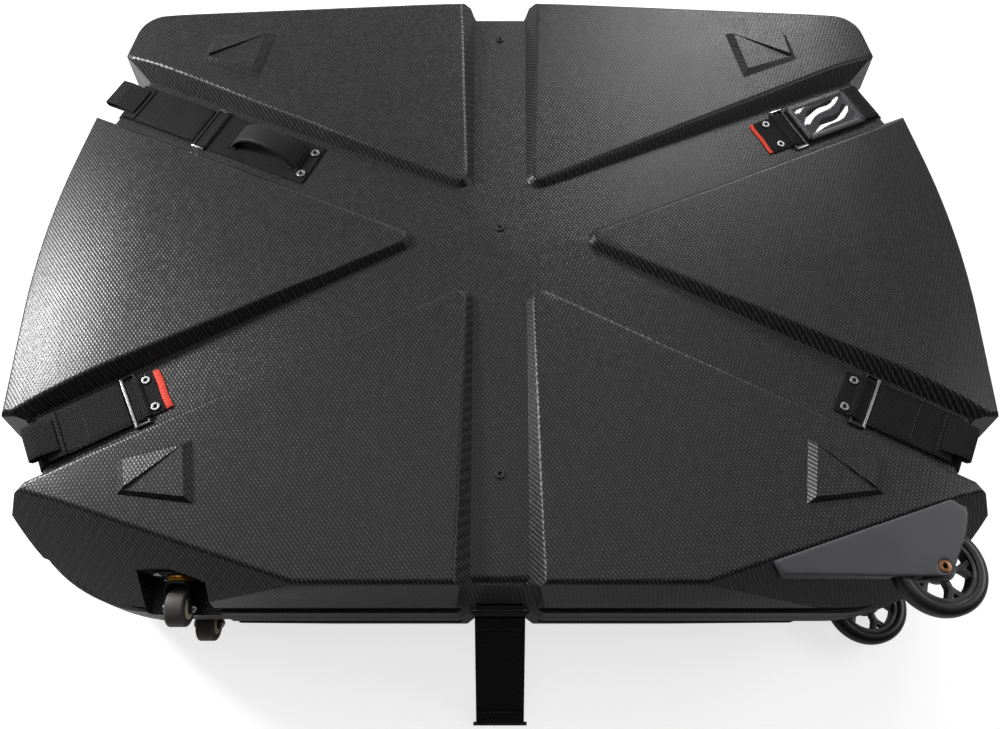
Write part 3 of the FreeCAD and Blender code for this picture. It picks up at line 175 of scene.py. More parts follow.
# %% Studio lamps
def lamp(name, place, target, width, height, watts):
    """A large soft lamp that faces a point."""
    bpy.ops.object.light_add(type="AREA", location=place)
    light = bpy.context.object
    light.name = name
    light.data.shape = "RECTANGLE"
    light.data.size = width
    light.data.size_y = height
    light.data.energy = watts
    light.rotation_euler = (Vector(target) - Vector(place)).to_track_quat("-Z", "Y").to_euler()
    return light


lamp("right_back_softbox", (1.05, 2.5, 1.9), (0.3, 0.3, 0.2), 0.9, 0.6, 33)
lamp("back_strip", (0, 3.2, 1.05), (0, 0.1, 0.25), 2.6, 0.25, 11)
lamp("left_strip", (-2.6, 0.5, 0.75), (0.2, -0.1, 0.28), 0.6, 0.8, 10)
lamp("right_softbox", (1.7, -0.1, 1.2), (0.5, 0, 0.25), 0.9, 0.7, 7)
lamp("left_softbox", (-1.55, 0.44, 1.08), (-0.5, 0, 0.25), 0.30, 0.34, 35)
lamp("top_softbox", (0, 0.2, 3.0), (0, 0, 0.2), 2.4, 1.8, 12)
print("six lamps")

# %% [markdown]
# The shell's finish
# The two halves are drawn from thick sheet plastic whose face carries a woven print, pressed into fine diagonal ribs.
# The eye gets charcoal with a soft gloss, and rows of small glints where a rib faces a lamp. A band pattern at the
# ribs' pitch, broken by a finer one across it, gives the height, and object coordinates keep it still on the shell.
# The height also sets the colour, as painted shade in the troughs and a painted highlight on the rib tops.

# %% Twill-faced sheet plastic
RIB_PITCH_MM, RIB_DEPTH = 4.1, 0.00028
shell_twill, tree, shader, spots = start_material("twill_faced_abs_sheet", IOR=1.5, Specular_IOR_Level=0.3)
# the ribs lean to the right in plan and run on down the walls, as far apart as the photograph shows
turned_ribs = add(tree, "Mapping", {"Vector": spots["Object"], "Rotation": (0.35, 0.3, math.radians(-36))})
ribs = bands(tree, turned_ribs, RIB_PITCH_MM, Distortion=0.35, Detail=1.0)
ribs.inputs["Detail Scale"].default_value = 6.0
turned_threads = add(tree, "Mapping", {"Vector": spots["Object"], "Rotation": (0.2, 0.45, math.radians(24))})
threads = bands(tree, turned_threads, RIB_PITCH_MM)
thread_share = add(tree, "MapRange", {0: threads.outputs["Fac"], 3: 0.35, 4: 1.0})
height = add(tree, "Math", {0: ribs.outputs["Fac"], 1: thread_share}, operation="MULTIPLY")
# the pressing is not even, so here and there the ribs are flatter and their painted shade and highlight weaker
uneven = blotches(tree, spots["Object"], 7, 2.0)
pressed = add(tree, "MapRange", {0: uneven.outputs["Fac"], 1: 0.3, 2: 0.7, 3: 0.55, 4: 1.1})
height = add(tree, "Math", {0: height, 1: pressed}, operation="MULTIPLY")
relief = add(tree, "Bump", {"Height": height, "Strength": 1.0, "Distance": RIB_DEPTH})
blotch = blotches(tree, spots["Object"], 60, 3.0)
# painted shade and highlight: the colour follows the rib height, dark in the troughs and light on the rib tops
tint = add(tree, "MixRGB", {0: height, 1: hex_colour("#121213"), 2: hex_colour("#434344")})
gloss = add(tree, "MapRange", {0: blotch.outputs["Fac"], 3: 0.31, 4: 0.39})
feed(tree, shader, Base_Color=tint, Roughness=gloss, Normal=relief)
print("shell finish ready")

# %% [markdown]
# Cloth finishes
# Straps, tabs and flaps are polyester webbing: flat, nearly black, with a fine diagonal weave and a dull sheen. Each
# strip keeps its own UV map in metres, across and along, so the weave follows the strap round its bends. Real threads
# are finer than a pixel here, so the weave is drawn at 3.4 mm to show. The red tabs are the same cloth, dyed.

# %% Webbing, ribbon and cover cloth
def woven(name, dark, light, pitch_mm, depth_mm, roughness, sheen):
    """A woven cloth on a strip's own UV map."""
    material, tree, shader, spots = start_material(name, Roughness=roughness, Specular_IOR_Level=0.25,
                                                   Sheen_Weight=sheen, Sheen_Roughness=0.5)
    lean = add(tree, "Mapping", {"Vector": spots["UV"], "Rotation": (0, 0, math.radians(52))})
    twill = bands(tree, lean, pitch_mm)
    weft = bands(tree, spots["UV"], pitch_mm * 0.8, "Y")
    height = add(tree, "Math", {0: twill.outputs["Fac"], 1: weft.outputs["Fac"]}, operation="MULTIPLY")
    worn = blotches(tree, spots["UV"], 18, 4.0)
    shade = add(tree, "MapRange", {0: worn.outputs["Fac"], 1: 0.3, 2: 0.7, 3: 0.75, 4: 1.0})
    mix = add(tree, "Math", {0: height, 1: shade}, operation="MULTIPLY")
    tint = add(tree, "MixRGB", {0: mix, 1: hex_colour(dark), 2: hex_colour(light)})
    relief = add(tree, "Bump", {"Height": height, "Strength": 0.8, "Distance": depth_mm / 1000})
    feed(tree, shader, Base_Color=tint, Normal=relief)
    return material


# nearly black and dull, with slanting threads that catch a little light
webbing_black = woven("black_polyester_webbing", "#020203", "#1d1c20", 3.4, 1.0, 0.8, 0.01)
# the one bright colour on the case, soft at its edges
ribbon_red = woven("red_nylon_ribbon", "#c42d1c", "#ff6244", 1.6, 0.25, 0.6, 0.1)
# smoother and a little lighter than the webbing, so the grip stands out from its plate
cover_black = woven("black_coated_cover_cloth", "#0c0c0e", "#1c1c1f", 1.6, 0.15, 0.6, 0.03)
print("three cloths")

# %% [markdown]
# Moulded and metal finishes
# Moulded plastics and rubbers differ mostly in gloss and in the fine spark-eroded grain of their moulds, so one recipe
# takes a colour, a gloss and a grain size. Metals take a colour, a gloss and fine scratches that break up the glints.

# %% Moulded plastics and rubbers
def moulded(name, colour, roughness, grain_mm, depth_mm):
    """A moulded plastic or rubber with a fine grain and a slightly uneven tone."""
    material, tree, shader, spots = start_material(name)
    grain = blotches(tree, spots["Object"], grain_mm, 2.0)
    tone = blotches(tree, spots["Object"], 35, 2.0)
    low = [c * 0.82 for c in hex_colour(colour)[:3]] + [1]
    tint = add(tree, "MixRGB", {0: tone.outputs["Fac"], 1: low, 2: [min(1, c * 1.12) for c in hex_colour(colour)]})
    gloss = add(tree, "MapRange", {0: tone.outputs["Fac"], 3: roughness - 0.05, 4: roughness + 0.07})
    relief = add(tree, "Bump", {"Height": grain.outputs["Fac"], "Strength": 0.35, "Distance": depth_mm / 1000})
    feed(tree, shader, Base_Color=tint, Roughness=gloss, Normal=relief)
    return material


guard_plastic = moulded("moulded_polypropylene_guard", "#4b4b4e", 0.42, 1.6, 0.12)  # satin mid grey
hub_nylon = moulded("glass_filled_nylon_hub", "#202022", 0.4, 1.2, 0.08)  # dark and half dull
tyre_rubber = moulded("cast_polyurethane_tyre", "#1b1b1d", 0.33, 2.5, 0.06)  # black with a smooth shine
caster_rubber = moulded("brown_grey_caster_rubber", "#4a4340", 0.55, 1.2, 0.08)  # warm dull grey
core_nylon = moulded("cream_nylon_core", "#d9cfb4", 0.45, 1.5, 0.04)  # cream, a pale spot between dark parts
seal_rubber = moulded("extruded_rubber_seal", "#0d0d0e", 0.6, 1.5, 0.08)  # a matt black line between the halves
foam_grey = moulded("closed_cell_foam", "#4a4a4d", 0.95, 2.2, 0.9)  # soft, matt and open-grained
frame_vinyl = moulded("dark_vinyl_window_frame", "#242426", 0.4, 1.5, 0.12)  # dark and a little wet
thread_grey = moulded("grey_sewing_thread", "#2f2f33", 0.7, 0.8, 0.1)  # just light enough to show on black cloth
print("moulded finishes ready")

# %% Metals
SCRATCH_MM = 3.0


def metal(name, colour, roughness, metallic=1.0):
    """A plated or coated metal with fine scratches in its gloss."""
    material, tree, shader, spots = start_material(name, Metallic=metallic)
    scratch = blotches(tree, spots["Object"], SCRATCH_MM, 5.0, Distortion=1.5)
    gloss = add(tree, "MapRange", {0: scratch.outputs["Fac"], 1: 0.3, 2: 0.7, 3: roughness * 0.75, 4: roughness * 1.3})
    low = [c * 0.85 for c in hex_colour(colour)[:3]] + [1]
    tint = add(tree, "MixRGB", {0: scratch.outputs["Fac"], 1: low, 2: hex_colour(colour)})
    feed(tree, shader, Base_Color=tint, Roughness=gloss)
    return material


bright_steel = metal("nickel_plated_steel", "#d5d5d8", 0.22)  # sharp white glints
dull_steel = metal("satin_zinc_steel", "#9a9a9c", 0.38)  # broad grey glints
black_steel = metal("black_powder_coated_steel", "#141415", 0.35, metallic=0.0)  # a black coat with a clear gloss
yellow_zinc = metal("yellow_chromate_zinc", "#d3a04a", 0.3)  # golden, like brass but paler
dark_bronze = metal("dark_bronze_bolt", "#8a6448", 0.33)  # brown with a warm glint
painted_hole_shade = moulded("unlit_hollow", "#060606", 0.9, 2.0, 0.02)  # no light at all, for holes
print("metals ready")

# %% [markdown]
# Hands for modelling
# Blender's operators act on whatever is selected, so every step first selects one piece and nothing else. These short
# helpers stand for the same few moves a modeller makes by hand: pick a piece, go into edit mode, add a modifier and
# apply it, then give the finished piece its material and the body that carries it.

# %% Modelling helpers
shift = Matrix.Translation  # a move, as a matrix


def only(piece):
    bpy.ops.object.select_all(action="DESELECT")
    piece.select_set(True)
    bpy.context.view_layer.objects.active = piece


def begin_with(add_shape, **settings):
    """A new simple shape, with nothing else selected."""
    bpy.ops.object.select_all(action="DESELECT")
    add_shape(**settings)
    return bpy.context.object


def edit(piece):
    only(piece)
    bpy.ops.object.mode_set(mode="EDIT")
    bpy.ops.mesh.select_all(action="SELECT")


def leave_edit():
    bpy.ops.object.mode_set(mode="OBJECT")


def with_modifier(piece, kind, **settings):
    only(piece)
    bpy.ops.object.modifier_add(type=kind)
    modifier = piece.modifiers[-1]
    for key, value in settings.items():
        setattr(modifier, key, value)
    bpy.ops.object.modifier_apply(modifier=modifier.name)


def face_out(piece):
    """Turn every face outwards, after a spin or a mirror."""
    edit(piece)
    bpy.ops.mesh.normals_make_consistent(inside=False)
    leave_edit()


def settle(piece, place):
    """Write a place into a piece's mesh and leave its object at the origin."""
    only(piece)
    piece.matrix_world = place @ piece.matrix_world
    bpy.ops.object.transform_apply(location=True, rotation=True, scale=True)


def join(pieces, name):
    only(pieces[0])
    for piece in pieces[1:]:
        piece.select_set(True)
    bpy.ops.object.join()
    pieces[0].name = name
    return pieces[0]


def dress(piece, material, body, slot, *replaced, smooth=35):
    """Give a finished piece its shading, material and carrier, and hide the frame nodes it stands for."""
    only(piece)
    bpy.ops.object.shade_smooth_by_angle(angle=math.radians(smooth))
    if material:
        piece.data.materials.clear()
        piece.data.materials.append(material)
    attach(piece, body)
    if replaced:
        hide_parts(*replaced)
    triangles = sum(len(p.vertices) - 2 for p in piece.data.polygons)
    print(f"{piece.name}: {triangles} triangles on {body}")


print("helpers for one piece at a time")

# %% [markdown]
# The two shells
# The halves are exact in the frame, channels, feet and rounded panel edges included, so their meshes are copied. The
# copy is merged and refined in two ways. A wedge cuts a step into each foot's face, and the sharp inner tips of the
# panels are cut like a fan and drawn in to an arc. A weighted-normal step then lets the large flat faces keep their
# flat shading beside the rounded edges.

# %% Rounded tips
TIPS = (  # where the channel floors meet a panel's inner tip, and the headings of its two walls, on the left side
    ((-0.0990, 0.0708), 155.5, 207.5),
    ((-0.0382, 0.1487), 155.5, 90.6),
    ((-0.0370, 0.0000), 207.4, 269.7),
)
TIP_ROUND, TIP_REACH = 0.020, 0.045


def round_tip(skin, tip, first, second):
    """Cut a panel's sharp tip like a fan, then draw the cuts in until they lie on an arc."""
    middle_way, half_angle = math.radians(first + second) / 2, math.radians(abs(first - second)) / 2
    inward = Vector((math.cos(middle_way), math.sin(middle_way)))
    centre = Vector(tip) + inward * TIP_ROUND / math.sin(half_angle)
    spread = math.pi / 2 - half_angle
    for share in (-1, -0.75, -0.5, -0.25, 0.25, 0.5, 0.75, 1):
        heading = middle_way + math.pi + share * spread
        close = [(vertex.co.xy - Vector(tip)).length < TIP_REACH for vertex in skin.data.vertices]
        for polygon in skin.data.polygons:
            polygon.select = any(close[index] for index in polygon.vertices)
        bpy.ops.object.mode_set(mode="EDIT")
        bpy.ops.mesh.bisect(plane_co=(*centre, 0), plane_no=(-math.sin(heading), math.cos(heading), 0))
        leave_edit()
    for vertex in skin.data.vertices:
        away = vertex.co.xy - centre
        if away.length < 1e-6:
            continue
        swing = math.acos(max(-1, min(1, -away.normalized().dot(inward))))
        pull = math.cos(spread - swing)
        if swing < spread and away.length * pull < TIP_ROUND * 1.15:
            vertex.co.xy = centre + away * pull


print(2 * len(TIPS), "tips to round to", TIP_ROUND * 1000, "mm on each half")

# %% Foot steps
FEET = (  # inner back, outer front and inner front corners of the left feet's faces
    ((-0.373, 0.451), (-0.455, 0.409), (-0.387, 0.379)),
    ((-0.390, -0.246), (-0.450, -0.299), (-0.378, -0.310)),
)
FOOT_LEVEL, STEP_DEPTHS = 0.300, (0.0005, 0.0036, 0.0010)


def foot_cutter(corners, side):
    """A wedge over the inner front half of a foot's face, its underside falling towards the outer corner."""
    start, end, front = [Vector((side * x, y)) for x, y in corners]
    run = (end - start).normalized()
    across = front - start
    across = (across - run * across.dot(run)).normalized()
    low = [Vector((*point, FOOT_LEVEL - depth)) for point, depth in zip((start, end, front), STEP_DEPTHS)]
    lean = (low[1] - low[0]).cross(low[2] - low[0])
    cutter = begin_with(bpy.ops.mesh.primitive_cube_add, size=2)
    for vertex in cutter.data.vertices:
        along, out, up = vertex.co
        spot = (start if along < 0 else end) + run * 0.02 * along + across * (0.08 if out > 0 else 0)
        slope = low[0].z - (lean.x * (spot.x - start.x) + lean.y * (spot.y - start.y)) / lean.z
        vertex.co = (*spot, FOOT_LEVEL + 0.02 if up > 0 else slope)
    face_out(cutter)
    return cutter


print(2 * len(FEET), "foot faces to step by up to", max(STEP_DEPTHS) * 1000, "mm")

# %% Shell skins
PARTING = 0.150
STRAY = Vector((0.0452, 0.1646, 0.28114))  # a point the rear right fan leaves a little too low
flip = shift((0, 0, 2 * PARTING)) @ Matrix.Scale(-1, 4, (0, 0, 1))


def node_copy(node, name, flat_angle=0.3):
    """A frame node's mesh as a new piece, its loose triangles merged into whole faces."""
    piece = bpy.data.objects.new(name, nodes[node].data.copy())
    scene.collection.objects.link(piece)
    piece.data.materials.clear()
    edit(piece)
    bpy.ops.mesh.customdata_custom_splitnormals_clear()
    bpy.ops.mesh.remove_doubles(threshold=2e-6)
    bpy.ops.mesh.dissolve_limited(angle_limit=math.radians(flat_angle))
    leave_edit()
    return piece


def to_base(piece):
    """Mirror a piece from the lid to the base."""
    settle(piece, flip)
    face_out(piece)


for half in ("lid", "base"):
    skin = node_copy(f"{half}_shell", f"{half}_shell_skin")
    cutters = join([foot_cutter(foot, side) for foot in FEET for side in (1, -1)], "foot_cutters")
    if half == "base":
        to_base(cutters)
    with_modifier(skin, "BOOLEAN", object=cutters, operation="DIFFERENCE", solver="EXACT")
    bpy.data.objects.remove(cutters)
    only(skin)
    bpy.ops.object.mode_set(mode="EDIT")
    bpy.ops.mesh.select_mode(type="FACE")
    leave_edit()
    for (x, y), first, second in TIPS:
        round_tip(skin, (x, y), first, second)
        round_tip(skin, (-x, y), 180 - first, 180 - second)
    if half == "lid":
        stray = min(skin.data.vertices, key=lambda vertex: (vertex.co - STRAY).length).index
        bpy.ops.object.mode_set(mode="EDIT")
        bpy.ops.mesh.select_mode(type="VERT")
        bpy.ops.mesh.select_all(action="DESELECT")
        leave_edit()
        skin.data.vertices[stray].select = True
        bpy.ops.object.mode_set(mode="EDIT")
        bpy.ops.mesh.dissolve_verts()
        leave_edit()
    bpy.ops.object.shade_smooth_by_angle(angle=math.radians(32))
    with_modifier(skin, "WEIGHTED_NORMAL", mode="FACE_AREA", weight=80, keep_sharp=True)
    skin.data.materials.append(shell_twill)
    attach(skin, half)
    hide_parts(f"{half}_shell")
    print(skin.name, len(skin.data.polygons), "faces")

# %% [markdown]
# Where the straps lie
# Four straps cross the case in its slanting channels. Each lies on the floor of a channel, which falls a little towards
# the edge, and turns down a leaning notch wall. Two places are needed again and again: one on a channel's floor at a
# distance from the crossing, and one on its notch wall.

# %% Places along the channels
CROSSING_Y, CROSSING_FLOOR = 0.0708715, 0.284
CHANNELS = {  # degrees from X, sideways shift, crossing to notch wall, fall of the floor
    "back_left": (155.5, -0.007, 0.640, 0.021),
    "back_right": (24.5, 0.007, 0.640, 0.021),
    "front_left": (207.4, 0, 0.664, 0.021),
    "front_right": (-27.4, 0, 0.664, 0.021),
    "front": (-90, 0, 0.476, 0.015),
    "back": (90, 0, 0.448, 0.015),
}
STRAPS = ("back_left", "back_right", "front_left", "front_right")
RING_REACH = {"back_left": 0.490, "back_right": 0.490, "front_left": 0.532, "front_right": 0.532}
TAB_START = {"back_left": 0.307, "back_right": 0.444, "front_left": 0.500, "front_right": 0.500}
LEAN, HALF_DEPTH = 0.011, 0.141


def channel_place(name, level):
    """X outwards along a channel and Z up, at a level."""
    angle, sideways, _, _ = CHANNELS[name]
    turn = shift((0, CROSSING_Y, level)) @ Matrix.Rotation(math.radians(angle), 4, "Z")
    return turn @ shift((0, sideways, 0))


def floor_place(name, reach, sideways=0, lift=0):
    """A place on a channel's floor, with Z off the floor."""
    _, _, notch, fall = CHANNELS[name]
    slope = math.atan2(fall, notch)
    spot = shift((reach / math.cos(slope), sideways, lift))
    return channel_place(name, CROSSING_FLOOR) @ Matrix.Rotation(slope, 4, "Y") @ spot


def wall_place(name, half):
    """X down a notch wall from the parting line and Z off the wall; half is 1 on the lid and -1 on the base."""
    notch = CHANNELS[name][2]
    tilt = math.pi / 2 - half * math.atan2(LEAN, HALF_DEPTH)
    return channel_place(name, PARTING) @ shift((notch + LEAN, 0, 0)) @ Matrix.Rotation(tilt, 4, "Y")


print("ring of the back left strap at", tuple(round(c, 3) for c in floor_place("back_left", 0.490).translation))

# %% [markdown]
# Webbing
# A strap is a flat woven band. It is modelled flat, with its UV map taken while it is still flat so that the weave
# keeps its size, then given its thickness and soft edges, and only then bent along its way. Sewing is modelled too:
# one small stitch, repeated along a row.

# %% Flat bands
def soften(piece, width, segments=2, angle=40):
    """Round the edges that turn by more than an angle."""
    with_modifier(piece, "BEVEL", width=width, segments=segments, limit_method="ANGLE",
                  angle_limit=math.radians(angle))


ROWS_ACROSS = 6


def strip(name, length, width, thickness, rows, edge=0.0007, place=None):
    """A flat band along X with soft edges, its weave kept in a UV map in metres."""
    piece = begin_with(bpy.ops.mesh.primitive_grid_add, x_subdivisions=rows, y_subdivisions=ROWS_ACROSS, size=1)
    piece.name = name
    edit(piece)
    bpy.ops.transform.resize(value=(length, width, 1))
    bpy.ops.transform.translate(value=(length / 2, 0, 0))
    leave_edit()
    weave = piece.data.uv_layers.active
    for loop in piece.data.loops:
        x, y, _ = piece.data.vertices[loop.vertex_index].co
        weave.data[loop.index].uv = (y, x)
    with_modifier(piece, "SOLIDIFY", thickness=thickness, offset=0)
    soften(piece, edge, angle=50)
    if place:
        settle(piece, place)
    return piece


print("flat bands have", ROWS_ACROSS, "rows of faces across")

# %% Bends
def bent_line(points, radii):
    """Points along straight runs whose inner corners are rounded, as (reach, level)."""
    corners = [np.array(point, float) for point in points]
    trail = [corners[0]]
    for index, radius in enumerate(radii, start=1):
        to_last = corners[index - 1] - corners[index]
        to_next = corners[index + 1] - corners[index]
        to_last /= np.linalg.norm(to_last)
        to_next /= np.linalg.norm(to_next)
        opening = math.acos(np.clip(to_last @ to_next, -1, 1))
        middle_way = (to_last + to_next) / np.linalg.norm(to_last + to_next)
        centre = corners[index] + middle_way * radius / math.sin(opening / 2)
        start = corners[index] + to_last * radius / math.tan(opening / 2) - centre
        end = corners[index] + to_next * radius / math.tan(opening / 2) - centre
        first = math.atan2(start[1], start[0])
        turn = (math.atan2(end[1], end[0]) - first + math.pi) % (2 * math.pi) - math.pi
        for share in np.linspace(0, 1, 9):
            trail.append(centre + radius * np.array([math.cos(first + turn * share), math.sin(first + turn * share)]))
    trail.append(corners[-1])
    return np.array(trail)


def line_length(line):
    return float(np.linalg.norm(np.diff(line, axis=0), axis=1).sum())


def lay(piece, line, place):
    """Bend a flat band along a line of (reach, level) points, then put it in its place."""
    runs = np.linalg.norm(np.diff(line, axis=0), axis=1)
    far = np.concatenate([[0], np.cumsum(runs)])
    headings = np.diff(line, axis=0) / runs[:, None]
    middles = (far[1:] + far[:-1]) / 2
    flat = np.array([vertex.co[:] for vertex in piece.data.vertices])
    along = flat[:, 0]
    spot = np.stack([np.interp(along, far, line[:, k]) for k in (0, 1)], axis=1)
    way = np.stack([np.interp(along, middles, headings[:, k]) for k in (0, 1)], axis=1)
    way /= np.linalg.norm(way, axis=1)[:, None]
    bent = np.stack([spot[:, 0] - way[:, 1] * flat[:, 2], flat[:, 1], spot[:, 1] + way[:, 0] * flat[:, 2]], axis=1)
    piece.data.vertices.foreach_set("co", bent.ravel())
    piece.data.update()
    settle(piece, place)


def bent_strip(name, way, width, thickness, rows, place):
    """A band as long as its way, laid along it."""
    band = strip(name, line_length(way), width, thickness, rows)
    lay(band, way, place)
    return band


print("a strap turns", round(math.degrees(math.pi / 2 - math.atan2(LEAN, HALF_DEPTH)), 1), "degrees at the edge")

# %% Stitches
STITCH_PITCH = 0.005


def stitch_row(start, end, height, pitch=STITCH_PITCH):
    """A row of stitches on a flat band, from one point of it to another."""
    run = Vector(end) - Vector(start)
    row = begin_with(bpy.ops.mesh.primitive_cube_add, size=1)
    edit(row)
    bpy.ops.transform.resize(value=(pitch * 0.62, 0.0009, 0.0007))
    bpy.ops.mesh.bevel(offset=0.00025, segments=1)
    leave_edit()
    with_modifier(row, "ARRAY", count=max(2, int(run.length / pitch)), use_relative_offset=False,
                  use_constant_offset=True, constant_offset_displace=(pitch, 0, 0))
    turn = Matrix.Rotation(math.atan2(run.y, run.x), 4, "Z")
    settle(row, shift((start[0], start[1], height)) @ turn @ shift((pitch / 2, 0, 0)))
    return row


print("stitches every", STITCH_PITCH * 1000, "mm")

# %% Closing straps
WEBBING_WIDTH = 0.066
for name in STRAPS:
    _, _, notch, fall = CHANNELS[name]
    rise, lean, lift = fall / notch, LEAN / HALF_DEPTH, 0.0014
    top = HALF_DEPTH - 0.007 + lift
    begin = RING_REACH[name] + 0.0113
    edge = (notch + LEAN + lift - lean * top) / (1 - lean * rise)
    way = bent_line(
        [(begin, top - rise * begin), (edge, top - rise * edge), (notch + LEAN + lift, 0),
         (notch + LEAN + lift - lean * 0.06, -0.06)],
        [0.012 + lift, 0.06],
    )
    band = bent_strip(f"closing_strap_{name}", way, WEBBING_WIDTH, 0.0022, 70, channel_place(name, PARTING))
    dress(band, webbing_black, "lid", "webbing", f"strap_{name}")

# %% [markdown]
# Flaps
# From each ring a flap of the same webbing is folded back over its strap. Its free end is turned over and sewn down, so
# there it is two layers thick. Three flaps also end in a finger loop to pull them by, a short band sewn on as an arch.
# All of it swings with the flap.

# %% Flaps with their sewn hems
FLAP_START, FLAP_LIFT = 0.0122, 0.004  # from the ring's middle outwards, and off the floor
FLAP_LENGTH = {"back_left": 0.132, "back_right": 0.132, "front_left": 0.108, "front_right": 0.108}
for name in STRAPS:
    length = FLAP_LENGTH[name]
    place = floor_place(name, RING_REACH[name] + FLAP_START, 0, FLAP_LIFT)
    way = bent_line([(0, -0.0010), (0.006, 0.0002), (length * 0.5, 0.0008), (length, 0)], [0.02, 0.5])
    flap = bent_strip(f"flap_band_{name}", way, WEBBING_WIDTH, 0.0024, 40, place)
    hem = strip("hem", 0.024, 0.0656, 0.0016, 6, place=place @ shift((length - 0.0245, 0, 0.0022)))
    flap = join([flap, hem], flap.name)
    dress(flap, webbing_black, f"flap_{name}_body", "webbing", f"flap_{name}")
    seams = [stitch_row((reach, 0.028), (reach, -0.028), 0.0032) for reach in (length - 0.021, length - 0.005)]
    if name != "back_right":  # the window covers this stretch there
        seams += [stitch_row((length - 0.055, y), (length - 0.024, y), 0.0021) for y in (0.0285, -0.0285)]
        seams.append(stitch_row((length - 0.055, 0.028), (length - 0.055, -0.028), 0.0022))
    sewing = join(seams, f"flap_stitches_{name}")
    settle(sewing, place)
    dress(sewing, thread_grey, f"flap_{name}_body", "webbing")

# %% Finger loops at the free ends
for name, share in (("back_left", 1.0), ("front_left", 0.6), ("front_right", 0.6)):
    way = bent_line(
        [(-0.004, 0.0006), (0.030 * share, 0.0002), (0.034 * share, 0.0085), (0.012 * share, 0.0105),
         (-0.018, 0.0042)],
        [0.0030, 0.0034, 0.02],
    )
    end = floor_place(name, RING_REACH[name] + FLAP_START + FLAP_LENGTH[name], 0, FLAP_LIFT)
    loop = bent_strip(f"finger_loop_{name}", way, 0.048, 0.002, 50, end)
    dress(loop, webbing_black, f"flap_{name}_body", "webbing")

# %% [markdown]
# Tabs that hold the rings
# Short tabs of webbing are riveted to the channel floors and folded over the inner bar of each ring. Red ribbon marks
# two of them. On the base the same straps end under four small riveted tabs on the notch walls.

# %% Ring tabs
def tab_line(begin, ring):
    """A tab's way: flat on the floor, up over the inner bar of its ring and down again."""
    return bent_line(
        [(begin, 0.0012), (ring - 0.0150, 0.0012), (ring - 0.0117, 0.0052), (ring - 0.0063, 0.0052),
         (ring - 0.0035, 0.0014), (ring + 0.0055, 0.0014)],
        [0.002, 0.0015, 0.0015, 0.002],
    )


TAB_WIDTH = 0.062
tabs = [bent_strip("tab", tab_line(TAB_START[name], RING_REACH[name]), TAB_WIDTH, 0.0022, 40, floor_place(name, 0))
        for name in ("back_right", "front_left", "front_right")]
dress(join(tabs, "ring_tabs"), webbing_black, "lid", "webbing", "anchor_tabs")

under_wall = shift((0.0612, 0, 0.0012))
base_tabs = [strip("tab", 0.026, TAB_WIDTH, 0.0024, 8, place=wall_place(name, -1) @ under_wall) for name in STRAPS]
dress(join(base_tabs, "base_strap_tabs"), webbing_black, "base", "webbing", "base_anchor_tabs")

# %% Red ribbon marks
marks = []
for name in ("back_right", "front_left"):
    broad = 0.0062 if name == "back_right" else 0.0095
    ribbon = strip("ribbon", broad, 0.060, 0.0012, 10, edge=0.0004)
    for vertex in ribbon.data.vertices:
        across = vertex.co.y / 0.031
        vertex.co.z += 0.0014 * math.sin(math.pi * vertex.co.x / broad) + 0.0002
        vertex.co.x += 0.0007 * math.sin(5 * across + (2 if name == "back_right" else 0))
    settle(ribbon, floor_place(name, TAB_START[name] - broad - 0.0003, 0, 0.0007))
    marks.append(ribbon)
dress(join(marks, "red_ribbon_marks"), ribbon_red, "lid", "red_tab", "pull_tabs")

# %% [markdown]
# Carry handle
# The rear left channel carries a padded handle: a soft tube of coated cloth bent into an arch, flat at its two sewn
# ends and full in the middle, on a plate of webbing that is folded over the ring's bar. The arch is a band whose rows
# are pulled narrower and thicker towards the middle.

# %% Handle plate and grip
GRIP_MIDDLE = TAB_START["back_left"] + 0.079
way = tab_line(TAB_START["back_left"], RING_REACH["back_left"])
plate = bent_strip("handle_base_band", way, 0.072, 0.0024, 60, floor_place("back_left", 0))
dress(plate, webbing_black, "lid", "webbing", "handle_plate")

half_span, rise = 0.0555, 0.0295
radius = (half_span ** 2 + rise ** 2) / (2 * rise)
swing = math.asin(half_span / radius)
turns = np.linspace(-swing, swing, 41)
arch = np.array([(radius * math.sin(a), rise - radius + radius * math.cos(a)) for a in turns])
span = line_length(arch)
grip = strip("padded_handle", span, 0.040, 0.006, 48, edge=0.0024)
for vertex in grip.data.vertices:
    share = math.sin(math.pi * min(max(vertex.co.x / span, 0), 1)) ** 0.7
    bulge = 1 - (vertex.co.y / 0.020) ** 2
    vertex.co.z *= 0.55 + 0.75 * share * (0.55 + 0.45 * bulge)
    vertex.co.y *= 1.0 - 0.14 * share
with_modifier(grip, "SUBSURF", levels=1, render_levels=1)
lay(grip, arch, floor_place("back_left", GRIP_MIDDLE, 0, 0.0024))
dress(grip, cover_black, "lid", "webbing", "carry_handle", smooth=60)
ends = []
for side in (-1, 1):
    cuff_place = floor_place("back_left", GRIP_MIDDLE + side * 0.054 - 0.008, 0, 0.0036)
    cuff_seam = stitch_row((0, -0.018), (0, 0.018), 0)
    settle(cuff_seam, floor_place("back_left", GRIP_MIDDLE + side * 0.0595, 0, 0.0049))
    ends += [strip("cuff", 0.016, 0.042, 0.0024, 6, place=cuff_place), cuff_seam]
dress(join(ends, "handle_sewn_ends"), webbing_black, "lid", "webbing")

# %% [markdown]
# Name window
# The rear right flap carries a window for an address card: a stitched vinyl frame round a clear vinyl sheet. The sheet
# is never flat, so it is a fine grid pushed into slow waves, and its glints come from the lamps on those waves. The eye
# gets a grey card under wet-looking gloss, so the card's grey is the colour and the vinyl only its shine.

# %% Window frame
def pick_faces(piece, chosen):
    """In edit mode, select the faces that a test chooses; after a turned piece, in vertex mode, it takes them all."""
    leave_edit()
    for polygon in piece.data.polygons:
        polygon.select = bool(chosen(polygon.center, polygon.normal))
    bpy.ops.object.mode_set(mode="EDIT")
    bpy.ops.mesh.select_mode(type="FACE")


